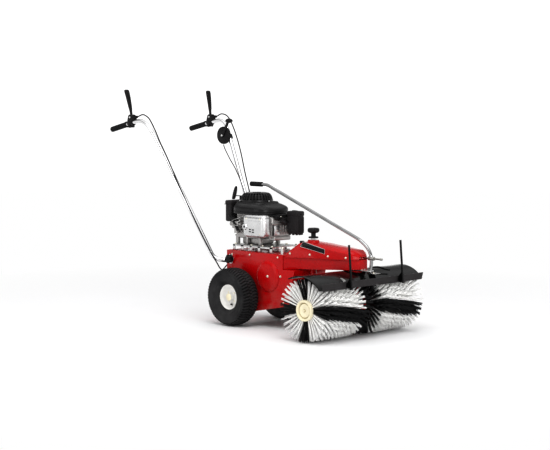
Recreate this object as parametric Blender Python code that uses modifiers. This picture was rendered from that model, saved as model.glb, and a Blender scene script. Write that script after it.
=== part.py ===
"""A walk-behind sweeper: two-wheeled chassis, small vertical-shaft petrol engine, a hollow arm that
carries the belt to a swivelling head, and a roller brush in two halves on either side of that head.

Metres, +Z up, -Y forward, +X to the operator's left. The origin is on the floor under the wheel
axle's centre. Points are written (x, forward, z) and turned into world points by at()."""

import math

import bmesh
import bpy
from mathutils import Matrix, Vector

# Driving dimensions
GAP = 0.0003                 # clearance between pieces that touch
SHEET = 0.003                # chassis and arm sheet
WHEEL_RADIUS = 0.165
WHEEL_SPACING = 0.207        # half the track
TYRE_HALF_WIDTH = 0.061
RIM_RADIUS = 0.070
AXLE_RADIUS = 0.0125
CHASSIS_HALF_WIDTH = 0.130
CHASSIS_TOP = 0.420
CHASSIS_FRONT = 0.325
CRANK_FORWARD = -0.015
BRUSH_FORWARD = 0.735
BRUSH_RADIUS = 0.172
BRUSH_AXIS_Z = 0.1725
BRUSH_INNER_END = 0.054
BRUSH_OUTER_END = 0.375
BRUSH_SPLAY = 0.024
BRUSH_ROWS = 12
HEAD_FRONT = 0.810
ARM_BOTTOM_REAR = 0.3385
ARM_BOTTOM_FRONT = 0.368
SEAM_REAR = 0.404
SEAM_FRONT = 0.420
SPINDLE_FORWARD = 0.438
SPINDLE_RADIUS = 0.008
CASTER_PIVOT_FORWARD = 0.350
CASTER_AXLE_FORWARD = 0.315
CASTER_RADIUS = 0.075
BRUSH_BELT_Z = 0.395
DRIVE_BELT_Z = 0.360
GEARBOX_PULLEY_FORWARD = 0.150
HANDLE_PIVOT = (0.1335, -0.095, 0.370)
HANDLE_TUBE_RADIUS = 0.0125
HANDLE_SPACING = 0.320
GRIP_RADIUS = 0.0165
LEVER_PIVOT_FORWARD = -0.757
LEVER_PIVOT_Z = 1.185
CABLE_RADIUS = 0.0035
THROTTLE_CENTRE = (0.2785, -0.590, 1.072)
THROTTLE_RADIUS = 0.054
STEER_TUBE_RADIUS = 0.009
LOCK_PIN_Z = 0.431
LOCK_PIN_RADIUS = 0.0045
SWIVEL_STOP = math.radians(15)
HOOD_HALF_WIDTH = 0.420
HOOD_RADIUS = 0.187
BAR_FORWARD = 0.885
DOME_RADIUS = 0.095

SIDES = ((-1, "right"), (1, "left"))


def at(x, forward, z):
    return Vector((x, -forward, z))


# Scene set-up

for old in list(bpy.data.objects):
    bpy.data.objects.remove(old, do_unlink=True)

parts = bpy.data.collections.new("walk_behind_sweeper")
tools = bpy.data.collections.new("cutters")
bpy.context.scene.collection.children.link(parts)
bpy.context.scene.collection.children.link(tools)


def finish(name, rgb, roughness, metallic):
    material = bpy.data.materials.new(name)
    material.use_nodes = True
    shader = material.node_tree.nodes["Principled BSDF"]
    shader.inputs["Base Color"].default_value = (*rgb, 1.0)
    shader.inputs["Roughness"].default_value = roughness
    shader.inputs["Metallic"].default_value = metallic
    material.diffuse_color = (*rgb, 1.0)
    return material


RED = finish("red_paint", (0.62, 0.01, 0.02), 0.3, 0.0)
BLACK_PAINT = finish("black_paint", (0.02, 0.02, 0.022), 0.35, 0.0)
BLACK_PLASTIC = finish("black_plastic", (0.03, 0.03, 0.032), 0.5, 0.0)
GREY_STEEL = finish("grey_steel", (0.16, 0.16, 0.17), 0.5, 0.6)
ZINC = finish("zinc", (0.72, 0.72, 0.72), 0.35, 1.0)
CHROME = finish("chrome", (0.85, 0.85, 0.86), 0.12, 1.0)
ALUMINIUM = finish("aluminium", (0.62, 0.62, 0.62), 0.45, 1.0)
STEEL = finish("steel", (0.45, 0.45, 0.46), 0.4, 1.0)
RUBBER = finish("rubber", (0.035, 0.035, 0.037), 0.75, 0.0)
WHITE_PAINT = finish("white_paint", (0.85, 0.84, 0.80), 0.35, 0.0)
CREAM_PLASTIC = finish("cream_plastic", (0.76, 0.70, 0.52), 0.45, 0.0)
BRISTLES = finish("bristles", (0.75, 0.75, 0.75), 0.6, 0.0)


# Modelling helpers

def put(name, data, material, collection=parts):
    """A new object in the collection, with the material."""
    obj = bpy.data.objects.new(name, data)
    collection.objects.link(obj)
    data.materials.append(material)
    return obj


def as_tool(obj):
    """Marks an object that only cuts or joins others."""
    obj.hide_render = True
    obj.display_type = "WIRE"
    for home in list(obj.users_collection):
        home.objects.unlink(obj)
    tools.objects.link(obj)
    return obj


def mesh_from(name, bm, material):
    mesh = bpy.data.meshes.new(name)
    bmesh.ops.recalc_face_normals(bm, faces=bm.faces)
    bm.to_mesh(mesh)
    bm.free()
    return put(name, mesh, material)


def boolean(obj, operation, *others):
    for other in others:
        modifier = obj.modifiers.new(operation.lower(), "BOOLEAN")
        modifier.operation = operation
        modifier.object = as_tool(other)
    return obj


def cut(obj, *others):
    return boolean(obj, "DIFFERENCE", *others)


def fuse(obj, *others):
    return boolean(obj, "UNION", *others)


def bevelled(obj, width, segments=1, angle=30):
    modifier = obj.modifiers.new("edges", "BEVEL")
    modifier.width = width
    modifier.segments = segments
    modifier.limit_method = "ANGLE"
    modifier.angle_limit = math.radians(angle)
    return obj


def shell(obj, thickness, even=True):
    """Thickness added on the inner side of an open surface."""
    modifier = obj.modifiers.new("sheet", "SOLIDIFY")
    modifier.thickness = thickness
    modifier.offset = -1.0
    modifier.use_even_offset = even
    return obj


def round_shaded(obj, angle=35):
    obj.data.shade_smooth()
    obj.data.set_sharp_from_angle(angle=math.radians(angle))
    return obj


def box(name, x, forward, z, material):
    """A box between two values of x, of forward and of z."""
    bm = bmesh.new()
    bmesh.ops.create_cube(bm, size=1.0)
    size = Vector((x[1] - x[0], forward[1] - forward[0], z[1] - z[0]))
    middle = at(sum(x) / 2, sum(forward) / 2, sum(z) / 2)
    bmesh.ops.scale(bm, vec=size, verts=bm.verts)
    bmesh.ops.translate(bm, vec=middle, verts=bm.verts)
    return mesh_from(name, bm, material)


def towards(direction):
    return Vector(direction).to_track_quat("Z", "Y").to_matrix().to_4x4()


def cylinder(name, start, end, radius, material, end_radius=None, steps=12):
    """A cylinder, or a cone with end_radius, between two points."""
    start = Vector(start)
    end = Vector(end)
    place = Matrix.Translation((start + end) / 2) @ towards(end - start)
    bm = bmesh.new()
    bmesh.ops.create_cone(
        bm, cap_ends=True, segments=steps, radius1=radius,
        radius2=radius if end_radius is None else end_radius,
        depth=(end - start).length, matrix=place,
    )
    return round_shaded(mesh_from(name, bm, material))


def turned(name, profile, centre, direction, material, closed=False, steps=16, start_turn=0.0):
    """A profile of (radius, height) points, listed down its outer side, turned about an axis."""
    mesh = bpy.data.meshes.new(name)
    points = [(radius, 0.0, height) for radius, height in profile]
    edges = [(i, i + 1) for i in range(len(points) - 1)]
    if closed:
        edges.append((len(points) - 1, 0))
    mesh.from_pydata(points, edges, [])
    obj = put(name, mesh, material)
    screw = obj.modifiers.new("turn", "SCREW")
    screw.steps = steps
    screw.render_steps = steps
    screw.use_merge_vertices = True
    screw.merge_threshold = 0.00005
    screw.use_normal_calculate = False
    obj.matrix_world = Matrix.Translation(centre) @ towards(direction) @ Matrix.Rotation(start_turn, 4, "Z")
    return obj


def smooth_route(points, spacing):
    """Evenly walked points on a curve that runs through the given ones."""
    points = [Vector(point) for point in points]
    padded = [2 * points[0] - points[1], *points, 2 * points[-1] - points[-2]]
    route = [points[0]]
    for a, b, c, d in zip(padded, padded[1:], padded[2:], padded[3:]):
        count = max(1, round((c - b).length / spacing))
        for i in range(1, count + 1):
            t = i / count
            route.append(0.5 * (
                2 * b + (c - a) * t + (2 * a - 5 * b + 4 * c - d) * t ** 2
                + (3 * b - a - 3 * c + d) * t ** 3
            ))
    return route


def tube(name, points, radius, material):
    """A round tube or rod through the points, with filled ends."""
    curve = bpy.data.curves.new(name, "CURVE")
    curve.dimensions = "3D"
    curve.bevel_depth = radius
    curve.bevel_resolution = 2
    curve.use_fill_caps = True
    spline = curve.splines.new("POLY")
    spline.points.add(len(points) - 1)
    for point, place in zip(spline.points, points):
        point.co = (*place, 1.0)
    return put(name, curve, material)


def as_mesh(obj):
    """A curve turned into a mesh whose caps are welded."""
    graph = bpy.context.evaluated_depsgraph_get()
    mesh = bpy.data.meshes.new_from_object(obj.evaluated_get(graph))
    bm = bmesh.new()
    bm.from_mesh(mesh)
    bmesh.ops.remove_doubles(bm, verts=bm.verts, dist=0.00001)
    bmesh.ops.recalc_face_normals(bm, faces=bm.faces)
    bm.to_mesh(mesh)
    bm.free()
    solid = bpy.data.objects.new(obj.name, mesh)
    solid.matrix_world = obj.matrix_world.copy()
    name = obj.name
    bpy.data.objects.remove(obj, do_unlink=True)
    solid.name = name
    parts.objects.link(solid)
    return solid


def slab(name, outline, start, end, material, along):
    """A flat outline given thickness. along is the axis that the thickness runs on: x, forward or z."""
    place = {
        "x": lambda a, b, depth: at(depth, a, b),
        "forward": lambda a, b, depth: at(a, depth, b),
        "z": lambda a, b, depth: at(a, b, depth),
    }[along]
    bm = bmesh.new()
    near = [bm.verts.new(place(a, b, start)) for a, b in outline]
    face = bm.faces.new(near)
    grown = bmesh.ops.extrude_face_region(bm, geom=[face])
    moved = [v for v in grown["geom"] if isinstance(v, bmesh.types.BMVert)]
    step = place(0.0, 0.0, end) - place(0.0, 0.0, start)
    bmesh.ops.translate(bm, vec=step, verts=moved)
    return mesh_from(name, bm, material)


def loft(name, sections, material, closed_section=True, first_cap=True, last_cap=True, lips=0):
    """A skin through sections of equal point counts, which a primitive can't give. The caps leave
    out as many points at either end of a section as it has lips."""
    bm = bmesh.new()
    rings = [[bm.verts.new(point) for point in section] for section in sections]
    count = len(rings[0])
    for ring, following in zip(rings, rings[1:]):
        for i in range(count if closed_section else count - 1):
            j = (i + 1) % count
            bm.faces.new((ring[i], ring[j], following[j], following[i]))
    for wanted, ring in ((first_cap, rings[0]), (last_cap, rings[-1])):
        if wanted:
            bm.faces.new(ring[lips:count - lips])
    return mesh_from(name, bm, material)


def bore_for(radius, steps=12):
    """The radius of a faceted bore whose flats clear a shaft of the given radius."""
    return (radius + GAP) / math.cos(math.pi / steps)


def pivot(name, place):
    """An empty on a joint's axis."""
    empty = bpy.data.objects.new(name, None)
    empty.location = place
    parts.objects.link(empty)
    return empty


def hang(empty, *objects):
    """Parents objects to the empty and leaves them where they are."""
    for obj in objects:
        obj.parent = empty
        obj.location = obj.location - empty.location


# Chassis: a folded sheet box, open underneath, with a lower nose in front

def chassis():
    outline = [
        (-0.130, CHASSIS_TOP), (CHASSIS_FRONT, CHASSIS_TOP), (CHASSIS_FRONT, 0.338), (0.415, 0.338),
        (0.405, 0.300), (0.391, 0.228), (0.374, 0.136), (0.110, 0.085), (-0.030, 0.085), (-0.130, 0.300),
    ]
    open_edges = {5, 6, 7}
    bm = bmesh.new()
    walls = []
    for x in (-CHASSIS_HALF_WIDTH, CHASSIS_HALF_WIDTH):
        wall = [bm.verts.new(at(x, forward, z)) for forward, z in outline]
        bm.faces.new(wall)
        walls.append(wall)
    for i in range(len(outline)):
        if i not in open_edges:
            j = (i + 1) % len(outline)
            bm.faces.new((walls[0][i], walls[0][j], walls[1][j], walls[1][i]))
    body = shell(mesh_from("chassis_shell", bm, RED), SHEET)
    reach = CHASSIS_HALF_WIDTH + 0.01
    pivot_place = HANDLE_PIVOT[1:]
    cut(
        body,
        cylinder("axle_holes", at(-reach, 0, WHEEL_RADIUS), at(reach, 0, WHEEL_RADIUS), 0.0140, RED),
        cylinder(
            "handle_bolt_holes", at(-reach, *pivot_place), at(reach, *pivot_place), 0.0056, RED, steps=12),
        cylinder("crank_hole", at(0, CRANK_FORWARD, 0.40), at(0, CRANK_FORWARD, 0.44), 0.030, RED),
        box("belt_window", (-0.062, 0.062), (0.310, 0.340), (0.372, 0.4135), RED),
        cylinder(
            "brush_idler_hole", at(-0.095, 0.289, 0.40), at(-0.095, 0.289, 0.44), 0.0066, RED, steps=12),
        cylinder("drive_idler_hole", at(0.090, 0.155, 0.40), at(0.090, 0.155, 0.44), 0.0056, RED, steps=12),
    )
    for side, name in SIDES:
        start = at(side * 0.080, -0.150, 0.370)
        cut(body, cylinder("cable_hole_" + name, start, at(side * 0.080, -0.110, 0.370), 0.0165, RED))
    cut(
        body,
        cylinder("throttle_cable_hole", at(0.040, -0.150, 0.370), at(0.040, -0.110, 0.370), 0.0165, RED))
    return body


def side_cover():
    """The round raised cover on the right-hand wall."""
    profile = [(0.0, 0.012), (0.070, 0.012), (0.088, 0.004), (0.088, 0.0), (0.0, 0.0)]
    centre = at(-CHASSIS_HALF_WIDTH - GAP, 0.208, 0.291)
    return turned("side_cover", profile, centre, (-1, 0, 0), RED, steps=20)


# Arm: a channel that tapers from the chassis and ends in an eight-sided head, with a lid over it

ARM_PLAN = [
    (0.126, CHASSIS_FRONT + 0.0024), (0.078, 0.410), (0.073, 0.672),
    (0.075, 0.704), (0.075, 0.766), (0.031, HEAD_FRONT),
]


def along_arm(forward, rear, front):
    share = (forward - CHASSIS_FRONT) / (HEAD_FRONT - CHASSIS_FRONT)
    return rear + (front - rear) * share


def arm_bottom(forward):
    return along_arm(forward, ARM_BOTTOM_REAR, ARM_BOTTOM_FRONT)


def arm_seam(forward):
    return along_arm(forward, SEAM_REAR, SEAM_FRONT)


def arm_channel():
    plan = [(-x, forward) for x, forward in ARM_PLAN] + [(x, forward) for x, forward in reversed(ARM_PLAN)]
    bm = bmesh.new()
    low = [bm.verts.new(at(x, forward, arm_bottom(forward))) for x, forward in plan]
    high = [bm.verts.new(at(x, forward, arm_seam(forward))) for x, forward in plan]
    bm.faces.new(low)
    for i in range(len(plan) - 1):
        bm.faces.new((low[i], low[i + 1], high[i + 1], high[i]))
    channel = shell(mesh_from("arm_channel", bm, RED), SHEET)
    floor = arm_bottom(SPINDLE_FORWARD)
    fuse(channel, cylinder(
        "caster_guide", at(0, SPINDLE_FORWARD, 0.275), at(0, SPINDLE_FORWARD, floor + 0.002), 0.019, RED))
    cut(
        channel,
        cylinder("guide_bore", at(0, SPINDLE_FORWARD, 0.26), at(0, SPINDLE_FORWARD, 0.343), 0.0158, RED),
        cylinder("spindle_bore", at(0, SPINDLE_FORWARD, 0.26), at(0, SPINDLE_FORWARD, 0.37), 0.0095, RED),
        cylinder("input_bore", at(0, BRUSH_FORWARD, 0.35), at(0, BRUSH_FORWARD, 0.38), 0.022, RED),
    )
    return channel


def arm_cover():
    lip = 0.009
    drop = 0.018
    stations = [
        # forward, half-width at the seam, half-width at the top, top height
        (CHASSIS_FRONT + 0.001, 0.119, 0.100, 0.432),
        (0.390, 0.088, 0.066, 0.487),
        (0.418, 0.076, 0.056, 0.497),
        (0.540, 0.072, 0.054, 0.490),
        (0.680, 0.072, 0.052, 0.477),
        (0.704, 0.073, 0.052, 0.474),
        (0.764, 0.073, 0.050, 0.469),
        (HEAD_FRONT - 0.002, 0.033, 0.026, 0.447),
    ]
    sections = []
    for forward, wide, narrow, top in stations:
        base = arm_seam(forward) + GAP + 0.003
        half = [(wide + lip, base), (wide, base), (wide, top - drop), (narrow, top - 0.002), (0.0, top)]
        shape = [(-x, z) for x, z in half] + [(x, z) for x, z in reversed(half[:-1])]
        sections.append([at(x, forward, z) for x, z in shape])
    cover = shell(loft("arm_cover", sections, RED, closed_section=False, lips=1), 0.0025, even=False)
    fuse(cover, cylinder(
        "knob_boss", at(0, SPINDLE_FORWARD, 0.492), at(0, SPINDLE_FORWARD, 0.505), 0.036, RED,
        end_radius=0.031))
    cut(
        cover,
        cylinder("knob_bore", at(0, SPINDLE_FORWARD, 0.48), at(0, SPINDLE_FORWARD, 0.52), 0.0095, RED))
    for turn in (-SWIVEL_STOP, 0.0, SWIVEL_STOP):
        inner = at(0.055 * math.sin(turn), BRUSH_FORWARD + 0.055 * math.cos(turn), LOCK_PIN_Z)
        outer = at(0.095 * math.sin(turn), BRUSH_FORWARD + 0.095 * math.cos(turn), LOCK_PIN_Z)
        cut(cover, cylinder("lock_hole", inner, outer, 0.0056, RED, steps=12))
    return cover


# Engine

def engine_plate():
    plate = box("engine_plate", (-0.110, 0.110), (-0.100, 0.220), (CHASSIS_TOP + GAP, 0.455), ZINC)
    cut(
        plate,
        box("plate_hollow", (-0.106, 0.106), (-0.110, 0.230), (0.410, 0.4505), ZINC),
        cylinder("plate_bore", at(0, CRANK_FORWARD, 0.44), at(0, CRANK_FORWARD, 0.47), 0.025, ZINC),
    )
    return plate


def engine_block():
    case = box("engine_block", (-0.083, 0.080), (-0.105, 0.105), (0.455 + GAP, 0.620), ALUMINIUM)
    bevelled(case, 0.014, 2)
    cut(
        case,
        box("crank_chamber", (-0.070, 0.068), (-0.092, 0.092), (0.447, 0.604), ALUMINIUM),
        cylinder("crank_bore", at(0, CRANK_FORWARD, 0.60), at(0, CRANK_FORWARD, 0.63), 0.0135, ALUMINIUM),
    )
    return case


def cylinder_head():
    head = box("cylinder_head", (-0.080, 0.078), (0.105 + GAP, 0.196), (0.486, 0.618), ALUMINIUM)
    bevelled(head, 0.008)
    for i in range(5):
        z = 0.512 + 0.022 * i
        cut(head, box("fin_gap", (-0.060, 0.090), (0.100, 0.170), (z, z + 0.009), ALUMINIUM))
    return head


def muffler_guard():
    guard = box("muffler_guard", (-0.150, -0.0836), (0.017, 0.193), (0.505, 0.6345), ALUMINIUM)
    bevelled(guard, 0.016, 2)
    fuse(guard, cylinder("outlet", at(-0.157, 0.042, 0.565), at(-0.148, 0.042, 0.565), 0.020, ALUMINIUM))
    cut(
        guard,
        bevelled(
            box("guard_hollow", (-0.147, -0.060), (0.020, 0.190), (0.508, 0.6315), ALUMINIUM), 0.013, 2),
        cylinder("outlet_bore", at(-0.160, 0.042, 0.565), at(-0.140, 0.042, 0.565), 0.012, ALUMINIUM),
    )
    return guard


def rounded_ring(half_x, rear, front, z, corner=3.2, count=24):
    """A level ring shaped like a rectangle with very round corners."""
    middle = (rear + front) / 2
    half = (front - rear) / 2
    ring = []
    for i in range(count):
        angle = 2 * math.pi * (i + 0.5) / count
        c, s = math.cos(angle), math.sin(angle)
        ring.append(at(
            half_x * math.copysign(abs(c) ** (2 / corner), c),
            middle + half * math.copysign(abs(s) ** (2 / corner), s),
            z,
        ))
    return ring


def engine_shroud():
    rings = [
        rounded_ring(0.130, -0.130, 0.167, 0.6355),
        rounded_ring(0.130, -0.130, 0.166, 0.668),
        rounded_ring(0.124, -0.125, 0.150, 0.690),
        rounded_ring(0.108, -0.118, 0.112, 0.700),
    ]
    hood = shell(loft("engine_shroud", rings, BLACK_PLASTIC, first_cap=False), 0.003)
    cut(
        hood,
        cylinder("air_inlet", at(0, CRANK_FORWARD, 0.68), at(0, CRANK_FORWARD, 0.71), 0.078, BLACK_PLASTIC))
    return hood


def recoil_housing():
    profile = [
        (0.0, 0.753), (0.058, 0.753), (0.082, 0.744), (DOME_RADIUS, 0.712), (DOME_RADIUS, 0.7003),
        (DOME_RADIUS - 0.003, 0.7003), (DOME_RADIUS - 0.003, 0.711), (0.080, 0.741), (0.057, 0.7495),
        (0.0, 0.7495),
    ]
    dome = turned("recoil_housing", profile, at(0, CRANK_FORWARD, 0), (0, 0, 1), BLACK_PLASTIC, steps=22)
    cut(
        dome,
        cylinder(
            "rope_hole", at(-0.050, -0.130, 0.731), at(-0.050, -0.070, 0.731), 0.0045, BLACK_PLASTIC,
            steps=10))
    return dome


def fuel_tank():
    tank = box("fuel_tank", (-0.095, 0.060), (-0.186, -0.134), (0.580, 0.705), BLACK_PLASTIC)
    bevelled(tank, 0.009, 2)
    return tank


def fuel_cap():
    profile = [(0.0, 0.022), (0.014, 0.022), (0.018, 0.018), (0.018, 0.0), (0.0, 0.0)]
    cap = turned("fuel_cap", profile, at(0.025, -0.160, 0.705 + GAP), (0, 0, 1), BLACK_PLASTIC, steps=16)
    hang(pivot("fuel_cap_axis", at(0.025, -0.160, 0.705)), cap)


def air_filter_box():
    case = box("air_filter_box", (0.020, 0.085), (0.205, 0.290), (0.518, 0.655), BLACK_PLASTIC)
    return bevelled(case, 0.014, 2)


def carburettor():
    body = box("carburettor", (-0.122, -0.086), (-0.098, -0.052), (0.548, 0.590), ALUMINIUM)
    bevelled(body, 0.004)
    bowl = cylinder("float_bowl", at(-0.104, -0.075, 0.520), at(-0.104, -0.075, 0.552), 0.014, ALUMINIUM)
    horn = cylinder("intake_horn", at(-0.104, -0.120, 0.572), at(-0.104, -0.030, 0.572), 0.013, ALUMINIUM)
    return fuse(body, bowl, horn)


def crankshaft():
    axis = at(0, CRANK_FORWARD, 0)
    empty = pivot("crank_axis", at(0, CRANK_FORWARD, 0.5))
    shaft_profile = [
        (0.0, 0.697), (0.0120, 0.697), (0.0120, 0.672), (0.084, 0.672), (0.084, 0.650), (0.0120, 0.646),
        (0.0120, 0.340), (0.0, 0.340),
    ]
    shaft = turned("crankshaft", shaft_profile, axis, (0, 0, 1), STEEL)
    outer = 0.037
    groove = 0.030
    bore = 0.0120 + GAP
    pulley_profile = [
        (bore, 0.404), (outer, 0.404), (outer, 0.4015), (groove, 0.4015), (groove, 0.3885), (outer, 0.3885),
        (outer, 0.3665), (groove, 0.3665), (groove, 0.3535), (outer, 0.3535), (outer, 0.350), (bore, 0.350),
    ]
    pulley = turned("engine_pulley", pulley_profile, axis, (0, 0, 1), STEEL, closed=True)
    hang(empty, shaft, pulley)


def recoil_grip():
    outline = [(-0.064, 0.709), (-0.041, 0.709), (-0.015, 0.785), (-0.039, 0.785)]
    bar = slab("recoil_grip", outline, -0.164, -0.148, BLACK_PLASTIC, "forward")
    bevelled(bar, 0.005, 2)
    fuse(
        bar,
        cylinder("rope", at(-0.050, -0.155, 0.731), at(-0.050, 0.045, 0.731), 0.0025, BLACK_PLASTIC, steps=8))
    hang(pivot("recoil_axis", at(-0.050, -0.150, 0.731)), bar)


# Belt drives

def belt(name, first, first_radius, second, second_radius, z, thickness=0.006, width=0.010):
    """An open belt round two pulleys: arcs joined by tangents, swept through a rectangle."""
    distance = second - first
    lean = math.asin((second_radius - first_radius) / distance)
    arc_steps = 10
    loop = []
    for centre, radius, start, end in (
        (first, first_radius, math.pi / 2 + lean, 3 * math.pi / 2 - lean),
        (second, second_radius, -math.pi / 2 - lean, math.pi / 2 + lean),
    ):
        for i in range(arc_steps + 1):
            angle = start + (end - start) * i / arc_steps
            loop.append((centre, radius, angle))

    def ring(extra, height):
        return [
            at((radius + extra) * math.sin(angle), centre + (radius + extra) * math.cos(angle), height)
            for centre, radius, angle in loop
        ]

    low, high = z - width / 2, z + width / 2
    rings = [ring(0.0, low), ring(thickness, low), ring(thickness, high), ring(0.0, high)]
    bm = bmesh.new()
    loops = [[bm.verts.new(point) for point in ring_points] for ring_points in rings]
    for k in range(4):
        a, b = loops[k], loops[(k + 1) % 4]
        for i in range(len(a)):
            j = (i + 1) % len(a)
            bm.faces.new((a[i], a[j], b[j], b[i]))
    return mesh_from(name, bm, RUBBER)


def belts():
    belt("brush_belt", CRANK_FORWARD, 0.0305, BRUSH_FORWARD, 0.0484, BRUSH_BELT_Z)
    belt("drive_belt", CRANK_FORWARD, 0.0305, GEARBOX_PULLEY_FORWARD, 0.0443, DRIVE_BELT_Z)


def idler(name, post, wheel, wheel_radius, z, head_top, head_radius):
    """A swinging arm with its belt roller, hung from a bolt through the chassis top."""
    arm_z = z + 0.0075
    arm = cylinder(name, at(*post, arm_z), at(*post, CHASSIS_TOP + GAP + 0.001), 0.0050, ZINC, steps=12)
    head = cylinder(
        name + "_head", at(*post, CHASSIS_TOP + GAP), at(*post, head_top), head_radius, ZINC, steps=12)
    along = Vector((wheel[0] - post[0], wheel[1] - post[1]))
    across = Vector((-along.y, along.x)).normalized() * 0.009
    beyond = along.normalized() * 0.009
    start = Vector(post) - beyond
    end = Vector(wheel) + beyond
    outline = [start - across, end - across, end + across, start + across]
    link = slab(name + "_link", [tuple(p) for p in outline], arm_z, arm_z + 0.004, ZINC, "z")
    roller = cylinder(
        name + "_roller", at(*wheel, z - 0.006), at(*wheel, arm_z + 0.002), wheel_radius, ZINC, steps=16)
    fuse(arm, head, link, roller)
    hang(pivot(name + "_axis", at(*post, z)), arm)


def idlers():
    idler("brush_idler", (-0.095, 0.289), (-0.080, 0.215), 0.017, BRUSH_BELT_Z, 0.452, 0.012)
    idler("drive_idler", (0.090, 0.155), (0.087, 0.078), 0.015, DRIVE_BELT_Z, 0.430, 0.009)


# Wheel drive

def wheel_drive():
    case = cylinder(
        "transmission_case", at(-0.055, 0, WHEEL_RADIUS), at(0.055, 0, WHEEL_RADIUS), 0.055, ALUMINIUM,
        steps=16)
    forward = GEARBOX_PULLEY_FORWARD
    fuse(case, box("worm_case", (-0.034, 0.034), (0.010, 0.186), (0.135, 0.215), ALUMINIUM))
    cut(
        case,
        cylinder(
            "case_bore", at(-0.07, 0, WHEEL_RADIUS), at(0.07, 0, WHEEL_RADIUS), AXLE_RADIUS + 0.0006,
            ALUMINIUM),
        cylinder("input_hole", at(0, forward, 0.160), at(0, forward, 0.230), 0.0095, ALUMINIUM),
    )
    profile = [
        (0.0, 0.370), (0.048, 0.370), (0.048, 0.3665), (0.043, 0.3665), (0.043, 0.3535), (0.048, 0.3535),
        (0.048, 0.350), (0.0085, 0.350), (0.0085, 0.165), (0.0, 0.165),
    ]
    pulley = turned("transmission_pulley", profile, at(0, forward, 0), (0, 0, 1), STEEL)
    hang(pivot("transmission_axis", at(0, forward, 0.3)), pulley)
    axle = cylinder(
        "drive_axle", at(-0.240, 0, WHEEL_RADIUS), at(0.240, 0, WHEEL_RADIUS), AXLE_RADIUS, STEEL, steps=20)
    hang(pivot("axle_axis", at(0, 0, WHEEL_RADIUS)), axle)


def wheels():
    steps = 20
    tread = WHEEL_RADIUS / math.cos(math.pi / steps)
    outer = [(0.0705, 0.020), (0.084, 0.044), (0.112, TYRE_HALF_WIDTH), (0.146, 0.056), (tread, 0.036)]
    inner = [(0.149, 0.040), (0.112, 0.050), (0.0705, 0.010)]
    tyre_profile = (
        outer + [(radius, -height) for radius, height in reversed(outer)]
        + [(radius, -height) for radius, height in reversed(inner)]
        + [(radius, height) for radius, height in inner]
    )
    bore = AXLE_RADIUS + GAP + 0.0002
    rim_profile = [
        (bore, 0.030), (0.020, 0.030), (0.023, 0.011), (0.056, 0.010), (0.0635, 0.024),
        (RIM_RADIUS, 0.024), (RIM_RADIUS, -0.030), (0.066, -0.030), (0.056, 0.005), (0.021, 0.005),
        (0.021, -0.022), (bore, -0.022),
    ]
    for side, name in SIDES:
        centre = at(side * WHEEL_SPACING, 0, WHEEL_RADIUS)
        turn = math.pi / steps
        tyre = turned("tyre_" + name, tyre_profile, centre, (side, 0, 0), RUBBER, True, steps, turn)
        rim = turned("rim_" + name, rim_profile, centre, (side, 0, 0), WHITE_PAINT, True, steps, turn)
        hang(pivot("wheel_axis_" + name, centre), tyre, rim)


# Support caster and its height spindle

def height_spindle():
    profile = [
        (0.0, 0.572), (0.025, 0.572), (0.0335, 0.566), (0.0335, 0.552), (0.027, 0.546), (0.014, 0.543),
        (0.014, 0.524), (0.0275, 0.523), (0.0275, 0.515), (0.012, 0.514), (0.012, 0.5055),
        (SPINDLE_RADIUS, 0.5055), (SPINDLE_RADIUS, 0.235), (0.0, 0.235),
    ]
    knob = turned("height_knob", profile, at(0, SPINDLE_FORWARD, 0), (0, 0, 1), BLACK_PLASTIC)
    hang(pivot("height_knob_axis", at(0, SPINDLE_FORWARD, 0.5)), knob)


def caster():
    column = cylinder(
        "caster_column", at(0, SPINDLE_FORWARD, 0.190), at(0, SPINDLE_FORWARD, 0.322), 0.0150, BLACK_PAINT)
    foot = box("caster_foot", (-0.026, 0.026), (0.322, 0.462), (0.188, 0.195), BLACK_PAINT)
    fuse(column, foot)
    cut(
        column,
        cylinder(
            "column_bore", at(0, SPINDLE_FORWARD, 0.20), at(0, SPINDLE_FORWARD, 0.33), 0.0090, BLACK_PAINT),
        cylinder(
            "swivel_bore", at(0, CASTER_PIVOT_FORWARD, 0.18), at(0, CASTER_PIVOT_FORWARD, 0.20), 0.0066,
            BLACK_PAINT),
    )
    hang(pivot("caster_lift_axis", at(0, SPINDLE_FORWARD, 0.25)), column)

    crown = box("caster_fork", (-0.0235, 0.0235), (0.322, 0.374), (0.176, 0.182), BLACK_PAINT)
    leg = [(0.366, 0.180), (0.326, 0.180), (0.303, 0.064), (0.327, 0.064)]
    fuse(
        crown,
        slab("fork_leg_right", leg, -0.0235, -0.0195, BLACK_PAINT, "x"),
        slab("fork_leg_left", leg, 0.0195, 0.0235, BLACK_PAINT, "x"),
        cylinder(
            "swivel_pin", at(0, CASTER_PIVOT_FORWARD, 0.180), at(0, CASTER_PIVOT_FORWARD, 0.202), 0.0060,
            BLACK_PAINT),
        cylinder(
            "fork_axle", at(-0.025, CASTER_AXLE_FORWARD, 0.075), at(0.025, CASTER_AXLE_FORWARD, 0.075),
            0.0050, BLACK_PAINT),
    )
    hang(pivot("caster_swivel_axis", at(0, CASTER_PIVOT_FORWARD, 0.180)), crown)

    steps = 20
    tread = CASTER_RADIUS / math.cos(math.pi / steps)
    half = [(0.0054, 0.0175), (0.016, 0.0175), (0.048, 0.009), (0.066, 0.016), (tread, 0.010)]
    profile = half + [(radius, -height) for radius, height in reversed(half)]
    centre = at(0, CASTER_AXLE_FORWARD, CASTER_RADIUS)
    wheel = turned("caster_wheel", profile, centre, (1, 0, 0), RUBBER, True, steps, math.pi / steps)
    hang(pivot("caster_axle_axis", centre), wheel)


# Brush head: the swivelling gearbox with hood, bar and steering lever

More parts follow.
